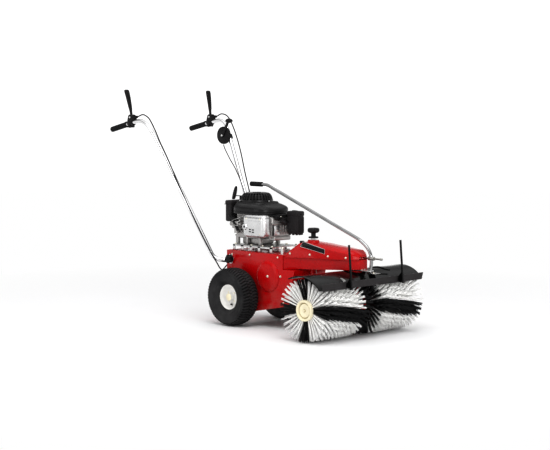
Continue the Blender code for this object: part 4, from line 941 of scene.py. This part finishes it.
SHROUD_OUTSIDE = [
    # half-width, rear, front, height
    (128.5, -128.5, 165.5, 635.5), (130, -130, 167, 637), (130, -130, 167, 644),
    (127.8, -128.2, 164.6, 645.8), (127.8, -128.2, 164.6, 648.2), (129.8, -129.8, 166.2, 650),
    (129.6, -129.6, 165.5, 664), (128.2, -128.4, 161.8, 669.4), (124, -125.8, 151, 676.5),
    (118, -122.5, 133, 683), (112, -119.5, 115, 688.5), (107, -117.2, 103, 691.5),
    (104, -116, 98.5, 698), (102, -115, 96.5, 700),
]
FINS = 30
WIDE_FINS = {*range(6, 11), *range(20, 24)}
FIN_LINE = [(93, 709), (91.8, 716), (85.5, 733), (79, 743), (70, 749), (64, 750)]


def rounded_ring(half_x, rear, front, z, corner=3.2, count=96):
    """A level ring shaped like a rectangle with very round corners."""
    middle, half = (rear + front) / 2, (front - rear) / 2
    return [
        at(half_x * copysign(abs(c) ** (2 / corner), c),
           middle + half * copysign(abs(s) ** (2 / corner), s), z)
        for c, s in circle(count, pi / count)]


def engine_shroud():
    """Two tiers of moulded housing."""
    inside = [(a - 3, b + 3, c - 3, z - 3) for a, b, c, z in reversed(SHROUD_OUTSIDE)]
    inside[-1] = (125.7, -125.7, 162.7, 635.5)
    rings = [rounded_ring(*row) for row in SHROUD_OUTSIDE + inside]
    Mesher(HOUSING).skin(rings, loop=True).piece(
        "shroud_housing", "chassis", "black_plastic", "engine_shroud", sharp=30)


def recoil_dome():
    """A finned dome with a dark screen behind its fins that paints the shade in the vents, on three bolted
    feet.
    """
    centre = at(0, CRANK_FORWARD, 0)
    dome = Mesher(HOUSING)
    dome.lathe([(0, 753), (56, 753), (62, 751.8), (66, 749.5), (65.5, 746.5), (0, 746.5)], centre, UP, 96)
    dome.lathe(
        [(95.5, 700.3), (95.5, 710), (94.5, 713), (91.5, 713), (92.5, 709.5), (92.5, 700.3)],
        centre, UP, 96, loop=True)
    for k, (c, s) in enumerate(circle(FINS, pi / FINS)):
        out, side = Vector((c, s, 0)), Vector((-s, c, 0))
        half = 5.2 if k in WIDE_FINS else 3
        dome.skin([
            [centre + out * (r + thick) + side * edge + Vector((0, 0, z + thick))
             for edge, thick in ((-half, -2.2), (half, -2.2), (half, 0.8), (-half, 0.8))]
            for r, z in FIN_LINE])
    for radius, z in ((90, 721.5), (87.2, 729), (82.5, 737.5)):
        inner = radius - 1.4
        hoop = [(inner, z - 0.8), (radius + 0.6, z - 0.8), (radius + 0.4, z + 0.9), (inner, z + 0.9)]
        dome.lathe(hoop, centre, UP, 96, loop=True)
    # Painted shade: a near-black sheet under the fins for the shade seen through the vents.
    dome.use(RECESS_SHADE).lathe(
        [(70, 701), (83.5, 701), (82, 718), (75.5, 733), (60, 744), (0, 744), (0, 742.5), (59, 742.5),
         (74, 732), (70, 718)], centre, UP, 72)
    dome.use(HOUSING).lathe(
        [(0, 753), (24, 753), (25, 753.8), (25, 754.6), (23.5, 755), (0, 755)], centre, UP, 40)
    for c, s in circle(3, radians(30)):
        foot = centre + Vector((100.5 * c, 100.5 * s, 700.5))
        dome.use(HOUSING).lathe([(0, 0), (8.5, 0), (8, 4.5), (0, 5)], foot, UP, 20)
        dome.use(ZINC).bolt(foot + Vector((0, 0, 5)), UP, 4)
    dome.piece("recoil_dome", "chassis", "black_plastic", "recoil_housing", sharp=40)


def recoil_grip():
    """A hand grip that stands up behind the dome, on its rope."""
    rings = []
    for share, forward, wide, deep in (
        (0.00, -156, 7, 4.5), (0.03, -156, 10.4, 6.4), (0.12, -156, 12.4, 7.6), (0.30, -156.2, 13.6, 8),
        (0.50, -156.6, 13.6, 7.8), (0.70, -157.4, 12.6, 7), (0.86, -158.4, 11, 5.8), (0.96, -159, 8, 4.2),
        (1.00, -159.2, 3.6, 2),
    ):
        x, z = -52.5 + 25.5 * share, 709 + 76 * share
        rings.append([at(x + wide * c, forward + deep * s, z) for c, s in circle(20)])
    rope = path([(-50, -152, 731), (-50, -100, 731), (-50, 45, 731)])
    Mesher(BLACK).skin(rings).use(CABLE).tube(rope, 2.4, 12, across=UP).piece(
        "starter_grip", "recoil", "black_plastic", "recoil_grip", sharp=60)


def muffler():
    """A pressed guard with an outlet boss, four slots and a raised crease. The outlet's bottom and the slots
    are near-black patches of painted shade.
    """
    Mesher(BRIGHT_ALUMINIUM).block((-150, -83.6), (17, 193), (505, 634.5), 24, 7).piece(
        "guard_shell", "chassis", "aluminium", "muffler_guard", sharp=50)
    boss = Mesher(BRIGHT_ALUMINIUM)
    seat = at(-150, 42, 565)
    boss.lathe(
        [(0, -4), (19.2, -4), (19, 1), (18.2, 3), (17.4, 5), (16, 6.6), (12, 7), (10, 7.8), (7, 7),
         (6.6, 2), (0, 2)], seat, RIGHT, 48)
    # Painted shade: a near-black disc at the bottom of the outlet, then four near-black patches for the
    # slots.
    boss.use(RECESS_SHADE).rod(6.5, 2.1, 2.8, seat, RIGHT, 30)
    for forward, z in ((74, 548), (98, 546), (74, 535), (98, 533)):
        boss.block((-150.4, -148), (forward, forward + 17), (z, z + 7), 1, 2)
    boss.use(BRIGHT_ALUMINIUM).block((-151.5, -149), (60, 165), (600, 603.5), 1, 2)
    boss.use(BOLT_ZINC).bolts([(-149.8, 160, 612), (-149.8, 160, 526), (-149.8, 50, 612)], RIGHT, 4.2)
    boss.piece("guard_fittings", "chassis", "aluminium", sharp=40)


def engine_block():
    """The crankcase on its feet, with ribs and flange bolts."""
    body = Mesher(ALUMINIUM)
    body.block((-83, 80), (-105, 100), (490, 610), 12, 4)
    body.block((-60, 60), (-74, 70), (455.6, 500), 10, 3)
    for x in ((-83, -64), (60, 80)):
        for forward in ((-105, -84), (-22, -6), (80, 100)):
            body.block(x, forward, (455.6, 500), 4, 2)
    body.block((-83.5, 86), (-110, 104), (500, 509), 3, 2)
    body.block((-80, 78), (-100, 100), (606, 634.5), 6, 3)
    for k in range(9):
        forward, x = -94 + 21.5 * k, -62 + 15.5 * k
        body.block((78, 86.5), (forward, forward + 4), (512, 600), 1.2, 2)
        body.block((x, x + 4), (-109.5, -100), (512, 560), 1.2, 2)
    body.lathe([(0, 0), (11, 0), (11, 6), (9, 8), (0, 8)], at(-83.5, -60, 530), RIGHT, 24)
    seats = [(x, forward, 509.2) for x in (-74, 77) for forward in (-102, -35, 35, 94)]
    body.use(BOLT_ZINC).bolts(seats, UP, 4.5)
    body.piece("crankcase", "chassis", "aluminium", "engine_block", sharp=40)


def cylinder_head():
    """The finned head, and its cover with a bright plate, a dark strip and ribs."""
    head = Mesher(ALUMINIUM)
    head.block((-80, 78), (106, 150), (500, 634.5), 6, 3)
    for k in range(7):
        z = 512 + 15.5 * k
        head.block((-83.5, 82), (104, 172), (z, z + 4.2), 1.4, 2)
    head.block((-78, 76), (150, 188.5), (506, 618), 9, 4)
    head.block((-80, 78), (166, 176), (500, 622), 3, 2)
    head.block((-66, 70), (150, 195), (486.5, 512), 8, 4)
    head.block((-80, 60), (184, 193), (578, 588), 3, 2)
    head.use(BRIGHT_ALUMINIUM).block((-62, -22), (186, 194.5), (519, 573), 3.5, 3)
    head.use(BLACK).block((-74.5, -65), (180, 191.5), (516, 578), 2, 2)
    head.use(ALUMINIUM)
    for x in (-8, 11, 30, 49):
        head.block((x, x + 5), (184, 192.5), (520, 572), 1.8, 2)
    seats = [(x, 176.5, z) for x in (-71, 69) for z in (513, 560, 611)]
    head.use(BOLT_ZINC).bolts(seats, FRONT, 4.5).bolt(at(-42, 194.6, 546), FRONT, 3.8)
    head.piece("finned_head", "chassis", "aluminium", "cylinder_head", sharp=40)


def air_filter():
    """A ribbed box with a lid and lumps along its lower edge, where its fixings are."""
    body = Mesher(TANK)
    body.block((22, 83), (207, 287), (524, 640), 10, 4)
    body.block((20, 85), (205, 290), (624, 655), 10, 5)
    for k in range(6):
        x = 29.5 + 9.4 * k
        body.tube(path([(x, 286.2, 532), (x, 287.6, 540), (x, 287.6, 616), (x, 285.5, 622)]), 2.6, 10)
    for k in range(8):
        forward = 214.5 + 9.4 * k
        for x in (22.2, 82.8):
            body.tube(path([(x, forward, z) for z in (532, 540, 616, 622)]), 2.4, 10)
    for x, forward in ((33, 276), (53, 280), (73, 276), (28, 254), (28, 226)):
        body.lathe([(0, 0), (6.5, 0.8), (8, 4), (8, 14), (0, 14)], at(x, forward, 518.2), UP, 20)
    # Painted shade: a near-black patch on the front of the lid.
    body.use(RECESS_SHADE).block((44, 62), (280, 290.2), (634, 641.5), 1.5, 2)
    body.use(TANK).tube(path([(45, 230, 655), (45, 250, 656.2), (45, 270, 655)]), 3.5, 12, across=UP)
    body.tube(path([(30, 208, 585), (10, 200, 590), (-10, 188, 600)]), 15, 24, across=UP)
    body.piece("filter_case", "chassis", "black_plastic", "air_filter_box", sharp=45)


def fuel_tank():
    """A moulded tank with a flange, its two bolts, and the notched filler cap."""
    body = Mesher(TANK)
    body.block((-93, 58), (-184, -135), (581, 686), 10, 4)
    body.block((-95, 60), (-186, -134), (679, 704.5), 9, 4)
    body.block((-96.5, 61), (-187, -133.5), (679.5, 683.5), 1.4, 2)
    for x in (-70, 20):
        body.use(TANK).block((x, x + 18), (-136, -118), (640, 646), 1.5, 2)
        body.use(ZINC).bolt(at(x + 9, -126, 646), UP, 4.2)
    body.use(BLACK).rod(20, 0, 4, at(25, -160, 701), UP, 36)
    body.piece("tank_moulding", "chassis", "black_plastic", "fuel_tank", sharp=40)
    centre = at(25, -160, 705.3)
    rings = []
    for height, radius, notch in ((0, 17, 0), (1, 18, 1.2), (18, 17.8, 1.2), (21.2, 15.5, 0), (22, 11, 0)):
        ring = []
        for i, (c, s) in enumerate(circle(72)):
            r = radius - notch * (i % 4 < 2)
            ring.append(centre + Vector((r * c, r * s, height)))
        rings.append(ring)
    Mesher(BLACK).skin(rings).piece("filler_cap", "fuel_cap", "black_plastic", "fuel_cap", sharp=30)


def engine_details():
    """The intake hose, the governor's link and spring, the spark plug lead and the head's top cover."""
    trim = Mesher(BLACK)
    hose = [(-108, -118, 628), (-112, -104, 606), (-118, -84, 586), (-122, -60, 560), (-118, -48, 536)]
    trim.tube(smooth_route(path(hose), 6), 8.5, 16)
    trim.lathe([(0, 0), (12, 0), (13, 4), (10, 18), (0, 20)], at(-112, -112, 612), (-0.2, 0.3, 1), 20)
    trim.block((-126, -112), (-86, -40), (596, 604), 2, 2, Matrix.Rotation(0.35, 3, "X"))
    trim.use(ZINC).block((-120, -116.5), (-100, -30), (575, 583), 1, 2, Matrix.Rotation(-0.5, 3, "X"))
    link = [(-124, -95, 590), (-126, -60, 602), (-120, -20, 615), (-112, 10, 620)]
    trim.tube(smooth_route(path(link), 6), 1.4, 8)
    coil = [(-128 + 3.2 * cos(0.7 * i), -85 + 0.7 * i, 566 + 3.2 * sin(0.7 * i)) for i in range(70)]
    trim.tube(path(coil), 0.7, 6, across=(0.2, 1, 0.1))
    plug_cap = [(0, 0), (9.5, 0), (10.5, 6), (8, 22), (6.5, 34), (0, 36)]
    trim.use(BLACK).lathe(plug_cap, at(10, 192, 588), (0.1, -1, 0.12), 24)
    lead = [(12, 226, 593), (-14, 224, 612), (-44, 198, 624), (-60, 176, 630), (-72, 150, 634)]
    trim.use(CABLE).tube(smooth_route(path(lead), 6), 3.5, 12)
    trim.use(BLACK).block((-46, 72), (160, 203), (612, 635), 5, 3)
    trim.block((-60, -30), (176, 206), (604, 622), 4, 2, Matrix.Rotation(0.3, 3, "Y"))
    trim.block((10, 40), (186, 212), (598, 618), 4, 2)
    trim.use(BOLT_ZINC).bolts([(-20, 203.2, 623), (52, 203.2, 623)], FRONT, 4.2)
    trim.piece("engine_linkages", "chassis", "black_plastic", sharp=45)


def engine_plate():
    """The raised plate under the engine: a sheet on legs that are open between them."""
    rear, front, top, bottom = -100, 220, 455, 450.5
    plate = Mesher(ZINC)
    plate.sleeve(26, 44, bottom, top + 0.2, at(0, CRANK_FORWARD, 0), UP, 40)
    for x in ((-110, -26), (26, 110)):
        plate.block(x, (rear, front), (bottom, top), 1.2, 2)
    for forward in ((rear, CRANK_FORWARD - 26), (CRANK_FORWARD + 26, front)):
        plate.block((-27.5, 27.5), forward, (bottom, top), 1.2, 2)
    for side in (-1, 1):
        wall = sorted((side * 110, side * 106))
        foot = sorted((side * 110, side * 88))
        for leg in ((rear, -82), (-34, -12), (38, 56), (104, 124), (200, front)):
            plate.block(wall, leg, (420.3, top - 1), 0.8, 2)
            plate.block(foot, leg, (420.3, 423.6), 0.8, 2)
        plate.block(wall, (rear, front), (444, top - 1), 0.8, 2)
        seats = [(side * 98, forward, top + 0.2) for forward in (-88, 42, 132, 208)]
        plate.use(BOLT_ZINC).bolts(seats, UP, 6.5).use(ZINC)
    plate.piece("mounting_plate", "chassis", "zinc", "engine_plate", sharp=40)


# Chassis and arm trim

COVER_ROWS = [
    # forward, half-width low down, half-width at the top, height of the top
    (390, 88, 66, 487), (418, 76, 56, 497), (540, 72, 54, 490), (680, 72, 52, 477),
]


def body_trim():
    """The round side cover, the bolts on the chassis and the arm, and one on the belt tensioner."""
    profile = [(0, 11.8), (68, 11.8), (72, 11), (86, 4.8), (88.5, 3), (89, 0), (0, 0)]
    Mesher(RED).lathe(profile, at(-WALL - 0.3, 208, 291), RIGHT, 72).piece(
        "round_cover", "chassis", "red_paint", "side_cover", sharp=50)
    bolts = Mesher(BOLT_ZINC)
    bolts.bolt(at(-WALL - 12, 216, 293), RIGHT, 6.5)
    bolts.bolt(at(-WALL - 0.2, 306, 298), RIGHT, 6)
    for side in (-1, 1):
        x, axis = side * (WALL + 0.2), (side, 0, 0)
        bolts.bolts(
            [(x, -85, 398), (x, 60, 404), (x, 285, 404), (x, 50, 118), (x, 330, 150)], axis, 4.8)
    for forward, half in ((356, 104.6), (480, 74.2), (615, 72.2), (748, 73.2)):
        for side in (-1, 1):
            bolts.bolt(at(side * half, forward, 430), (side, 0, 0), 5.6)
    bolts.bolts([(-90.5, 378, 306), (90.5, 378, 306)], (0, -1, 0.14), 5)
    knob = [(0, -2), (12.5, -2), (13, 1), (13, 9.5), (11.5, 11.5), (0, 12)]
    bolts.use(BLACK).lathe(knob, at(-50, 398, 488.2), UP, 32)
    bolts.piece("body_bolts", "chassis", "zinc", sharp=40)
    Mesher(BOLT_ZINC).bolt(at(-95, 289, 452), UP, 8).piece(
        "tensioner_bolt", "brush_tensioner", "zinc", sharp=40)


def cover_side(forward, z):
    """How far out the arm cover's side is: upright to its shoulder, then leaning in."""
    for (f0, *low), (f1, *high) in zip(COVER_ROWS, COVER_ROWS[1:]):
        if forward <= f1:
            break
    share = (forward - f0) / (f1 - f0)
    wide, narrow, top = (a + (b - a) * share for a, b in zip(low, high))
    lean = min(1.0, max(0.0, (z - top + 18) / 16))
    return wide + (narrow - wide) * lean


def badge():
    """A blank plate with a bright rim on the arm's right-hand side."""
    plate = Mesher(BADGE)
    for material, margin, lift in ((BRIGHT_ALUMINIUM, 0, 1), (BADGE, 1.6, 1.5)):
        rings = []
        for i in range(13):
            share = i / 12
            forward = 412 + margin + (180 - 2 * margin) * share
            middle = 483.5 - 30 * share
            heights = [middle + (14 - margin) * (2 * k / 8 - 1) for k in range(9)]
            skin = [at(-cover_side(forward, z) - lift, forward, z + lift * 0.3) for z in heights]
            core = [at(-cover_side(forward, z) + 0.8, forward, z) for z in heights]
            rings.append(skin + core[::-1])
        plate.use(material).skin(rings)
    soften(plate.piece("badge_plate", "chassis", "black_plastic"), 0.0003, 32)


# Handles

HANDLE_LINE = [
    (320, -936, 1111.8), (320, -800, 1142), (320, -700, 1161), (319.5, -648, 1158), (314, -605, 1128),
    (303, -572, 1080), (200, -196, 412), (192, -182, 385), (178, -162, 368), (160, -138, 362),
]
HANDLE_FOOT = [
    # x, forward, z, half-thickness, half-width
    (150, -128, 362, 10, 14), (141, -120, 364, 6, 16), (134.5, -113, 367, 3, 18.5),
    (133.5, -105, 369, 2.8, 20.5), (133.5, -95, 370, 2.8, 21.5), (133.5, -83, 372, 2.8, 16.5),
    (133.5, -76, 373, 2.4, 8.5),
]
PADDLE = [
    # outward, forward, z, half-width, half-depth
    (0, -757.5, 1181, 7.5, 7.5), (0, -758, 1196, 7.5, 6.8), (1, -762, 1222, 8.5, 6),
    (2, -764, 1236, 11.5, 6.2), (4, -769, 1262, 13.8, 6.6), (7, -779, 1306, 16.8, 7),
    (9.3, -786.8, 1334, 18.4, 6.6), (10, -789.2, 1344, 17.6, 5.4), (10, -790, 1348.5, 14, 3.4),
    (10, -790.2, 1349.8, 8, 1.4),
]
THROTTLE_TIP = (-532, 1162)      # forward, z


def handle(side, name):
    """The bent tube with its flat foot, and the ribbed grip on its end."""
    line = path(HANDLE_LINE, side)
    straight = [line[5].lerp(line[6], k / 12) for k in range(1, 12)]
    route = [line[0], *smooth_route(line[1:6], 8), *straight, *smooth_route(line[6:], 6)]
    radii = [(HANDLE_TUBE_RADIUS, HANDLE_TUBE_RADIUS)] * len(route)
    route += path([row[:3] for row in HANDLE_FOOT], side)
    radii += [row[3:] for row in HANDLE_FOOT]
    x, forward, z = HANDLE_PIVOT
    pivot, axis = at(side * x, forward, z), (side, 0, 0)
    tube = Mesher(CHROME).tube(route, radii, 28)
    tube.lathe([(6, -2.6), (27, -2.6), (27.6, 0), (27, 2.6), (6, 2.6)], pivot, axis, 48, loop=True)
    tube.piece("handle_bar_" + name, "handle_" + name, "chrome", "handle_tube_" + name, sharp=60)

    start, end = line[1], at(side * HANDLE_SPACING, -942.1, 1110.5)
    length = (end - start).length
    profile = [
        (12.8, 0), (18.2, 0), (18.6, 2), (17.8, 5), (15.6, 7),
        *ridges([9 + (length - 22) * k / 17 for k in range(17)],
                [(15.3, 0), (16.5, 1.2), (16.5, 4.2), (15.3, 5.6)]),
        (15.8, length - 10), (16.5, length - 7), (16, length - 2), (13, length), (0, length),
        (0, length - 4), (12.8, length - 4)]
    Mesher(RUBBER).lathe(profile, start, end - start, 40).piece(
        "hand_grip_" + name, "handle_" + name, "rubber", "grip_" + name, sharp=50)


def star_knob(side, name):
    """A five-lobed knob at a handle's pivot, on its stud."""
    x, forward, z = HANDLE_PIVOT
    centre = at(side * x, forward, z)
    rings = []
    for depth, size in ((3.8, 0.80), (5.5, 0.96), (10, 1), (20, 1), (25, 0.95), (28, 0.80), (28.4, 0.30)):
        ring = []
        for i, (c, s) in enumerate(circle(80)):
            radius = size * (22.5 + 3 * cos(5 * 2 * pi * i / 80))
            ring.append(centre + Vector((side * depth, radius * c, radius * s)))
        rings.append(ring)
    knob = Mesher(BLACK).skin(rings)
    knob.use(ZINC).rod(5, 0, 20, at(side * 120, forward, z), (side, 0, 0), 24)
    knob.bolt(at(side * 126.2, forward, z), (-side, 0, 0), 6)
    knob.piece("pivot_knob_" + name, "knob_" + name, "black_plastic", "star_knob_" + name, sharp=45)


def clutch_paddle(side, name):
    x = side * HANDLE_SPACING
    hub, axis = at(x, -757, 1185), Vector(LEFT)
    rings = []
    for outward, forward, z, half_x, half_f in PADDLE:
        rings.append([
            at(x + side * outward + half_x * copysign(abs(c) ** 0.7, c),
               forward + half_f * copysign(abs(s) ** 0.8, s), z)
            for c, s in circle(24)])
    paddle = Mesher(BLACK).skin(rings)
    paddle.lathe([(0, -9.8), (9.2, -9.8), (10, -9), (10, 9), (9.2, 9.8), (0, 9.8)], hub, axis, 28)
    paddle.use(ZINC).rod(4, -17.2, 17.2, hub, axis, 20)
    paddle.bolt(hub + axis * 15, axis, 5.2).bolt(hub - axis * 15, -axis, 5.2)
    paddle.piece("clutch_paddle_" + name, "lever_" + name, "black_plastic", "clutch_lever_" + name, sharp=50)


def lever_clamp(side, name):
    """The clamp round the handle, with two cheeks for the paddle and a cable ferrule."""
    x = side * HANDLE_SPACING
    tube_start, tube_end = path([(x, -800, 1142), (x, -700, 1161)])
    direction = (tube_end - tube_start).normalized()
    middle = tube_start + direction * 42
    clamp = Mesher(BLACK)
    clamp.lathe(
        [(12.9, -20), (18.5, -20), (19.5, -18.5), (19.5, 18.5), (18.5, 20), (12.9, 20)],
        middle, direction, 36, loop=True)
    clamp.rod(5, -21, 21, middle - Vector((0, 0, 21)), LEFT, 20)
    cheek = [(-782, 1156), (-735, 1160), (-731, 1190), (-740, 1199), (-752, 1201.5), (-766, 1199.5),
             (-773, 1190)]
    for offset in (-14.5, 10.5):
        clamp.slab(cheek, x + offset, x + offset + 4)
    clamp.block((x - 13, x + 13), (-742, -723), (1160, 1195), 3, 3)
    ferrule = [(0, 0), (8.2, 0), (8.5, 6), (7, 8), (7, 18), (7.8, 19), (7.8, 24), (4.5, 26.2), (0, 26.2)]
    clamp.lathe(ferrule, at(x, -728, 1183), at(0, 26, 5), 24)
    clamp.use(ZINC).bolt(middle + Vector((20.8, 0, -21)), LEFT, 4.2)
    tail = path([(x, -792, 1128), (x, -778, 1124), (x, -760, 1126)])
    clamp.use(BLACK).tube(smooth_route(tail, 4), 2.4, 10)
    clamp.piece("lever_mount_" + name, "handle_" + name, "black_plastic", "lever_clamp_" + name, sharp=40)


def throttle():
    """A round case with a ring of raised dots and its clamp, and the lever with an oval thumb pad."""
    x, forward, z = THROTTLE_CENTRE
    centre = at(x, forward, z)
    case = Mesher(BLACK).lathe(
        [(0, -10), (50, -10), (53.2, -8.5), (54, -5), (54, 6), (52.8, 9), (49, 10), (0, 10)],
        centre, LEFT, 64)
    for c, s in circle(28):
        spot = centre + Vector((-10.1, 45 * c, 45 * s))
        case.lathe([(0, 0), (1.6, 0), (1.4, 1), (0, 1.2)], spot, RIGHT, 10)
    upper, lower = path(HANDLE_LINE[5:7])
    direction = (lower - upper).normalized()
    case.lathe(
        [(12.8, -12), (19, -12), (19.5, -11), (19.5, 11), (19, 12), (12.8, 12)],
        upper + direction * 20, direction, 36, loop=True)
    case.block((284, 300), (-600, -568), (1050, 1078), 3, 2)
    case.use(ZINC).bolt(centre + Vector((10, 20, -20)), LEFT, 4.5)
    case.piece("throttle_disc", "handle_left", "black_plastic", "throttle_case", sharp=40)

    face = x - 11.6
    pivot = at(face, forward, z)
    tip, height = THROTTLE_TIP
    arm = Mesher(BLACK).lathe([(0, 0), (12.5, 0), (12.5, 6), (11, 7.2), (0, 7.2)], pivot, RIGHT, 32)
    outline = [
        (forward - 10.5, z - 6), (forward + 8.5, z - 8), (tip + 6, height - 4), (tip - 6, height + 4)]
    arm.slab(outline, face - 6.8, face - 0.4)
    rings = []
    for k in range(9):
        t = -1 + 2 * k / 8
        size = sqrt(max(0.02, 1 - abs(t) ** 3.2))
        rings.append([
            at(x - 11 + 20 * t, tip + 22.5 * size * c, height + 13.8 * size * s) for c, s in circle(24)])
    arm.skin(rings)
    arm.use(ZINC).rod(4, 0, 12.5, pivot, LEFT, 20)
    arm.bolt(at(face - 7, forward, z), RIGHT, 5.5)
    arm.piece("throttle_arm", "throttle", "black_plastic", "throttle_lever", sharp=45)


# Cables

NOSE = (320, -700.5, 1188)
ENTRY = [
    (150, -186, 505), (126, -168, 440), (104, -156, 392), (80, -138, 370),
    (80, -100, 370),
]
CABLE_ROUTES = {
    # CAD node: (body, side, radius, route)
    "drive_cable": ("handle_right", -1, 3.5, [
        NOSE, (322, -650, 1201), (323, -612, 1190), (322, -585, 1170),
        (320, -543, 1112), (312, -508, 1042), (302, -475, 979), (292, -443, 914),
        (271, -378, 775), (252, -312, 648), (233, -245, 522), (218.5, -191.5, 431),
        (207, -165, 383), (184, -158, 346), (150, -169, 312), (124, -174, 300),
        (96, -166, 326), (80, -138, 366), (80, -100, 370)]),
    "brush_cable": ("handle_left", 1, 3.5, [
        NOSE, (320, -652, 1204), (318, -592, 1184), (313, -532, 1105),
        (300, -466, 983), (272, -396, 850), (236, -318, 732), (188, -216, 580), *ENTRY]),
    "throttle_cable": ("handle_left", 1, 2.8, [
        (278.5, -592, 1015.5), (277.5, -584, 995), (262, -519, 928), (238, -440, 863),
        (190, -320, 747), (140, -230, 600), (90, -190, 470), (55, -152, 376),
        (40, -135, 370), (40, -100, 370)]),
}


def cables():
    """Each sleeve is a tube from its control to the chassis, along its modelled route."""
    for node, (body, side, radius, rows) in CABLE_ROUTES.items():
        points = smooth_route(path(rows, side), 12)
        cable = Mesher(CABLE).tube(points, radius, 14).piece(
            node + "_sleeve", body, "rubber", node, sharp=60)
        points = [point * MM for point in points]


# CAD nodes that keep their shape

KEPT = {
    "chassis_shell": RED, "arm_channel": RED, "arm_cover": RED, "brush_gearbox": RED,
    "brush_idler": ZINC, "drive_idler": ZINC,
    "carburettor": ALUMINIUM, "transmission_case": ALUMINIUM, "brush_pulley": ALUMINIUM,
    "crankshaft": STEEL, "engine_pulley": STEEL, "drive_axle": STEEL, "transmission_pulley": STEEL,
    "brush_shaft": STEEL, "caster_column": BLACK_GLOSS, "caster_fork": BLACK_GLOSS,
    "brush_belt": RUBBER, "drive_belt": RUBBER,
}
FOLDED = ("chassis_shell", "arm_channel", "arm_cover")
FOLD_RADIUS = 0.0011


def finish_kept_nodes():
    """Gives the nodes their materials, flat faces and sharp edges, and rounds the sheet metal's folds."""
    for name, material in KEPT.items():
        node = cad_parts[name]
        node.data.materials.clear()
        node.data.materials.append(material)
        weld = node.modifiers.new("weld", "WELD")
        weld.merge_threshold = 0.00002
        flat = node.modifiers.new("flat_faces", "DECIMATE")
        flat.decimate_type = "DISSOLVE"
        flat.angle_limit = radians(1.5)
        if name in FOLDED:
            soften(node, FOLD_RADIUS, 28)
        node.data.shade_smooth()
        smooth = node.modifiers.new("sharp_edges", "EDGE_SPLIT")
        smooth.split_angle = radians(38)


def main():
    camera()
    studio()
    for side, name in SIDES:
        tyre(side, name)
        rim(side, name)
        bristle_half(side, name)
        handle(side, name)
        star_knob(side, name)
        clutch_paddle(side, name)
        lever_clamp(side, name)
    cables()
    throttle()
    caster_wheel()
    for side, name in SIDES:
        brush_core(side, name)
    hood()
    front_bar()
    hood_fittings()
    steering()
    height_knob()
    engine_shroud()
    recoil_dome()
    recoil_grip()
    muffler()
    engine_block()
    cylinder_head()
    air_filter()
    fuel_tank()
    engine_details()
    engine_plate()
    body_trim()
    badge()
    finish_kept_nodes()


main()
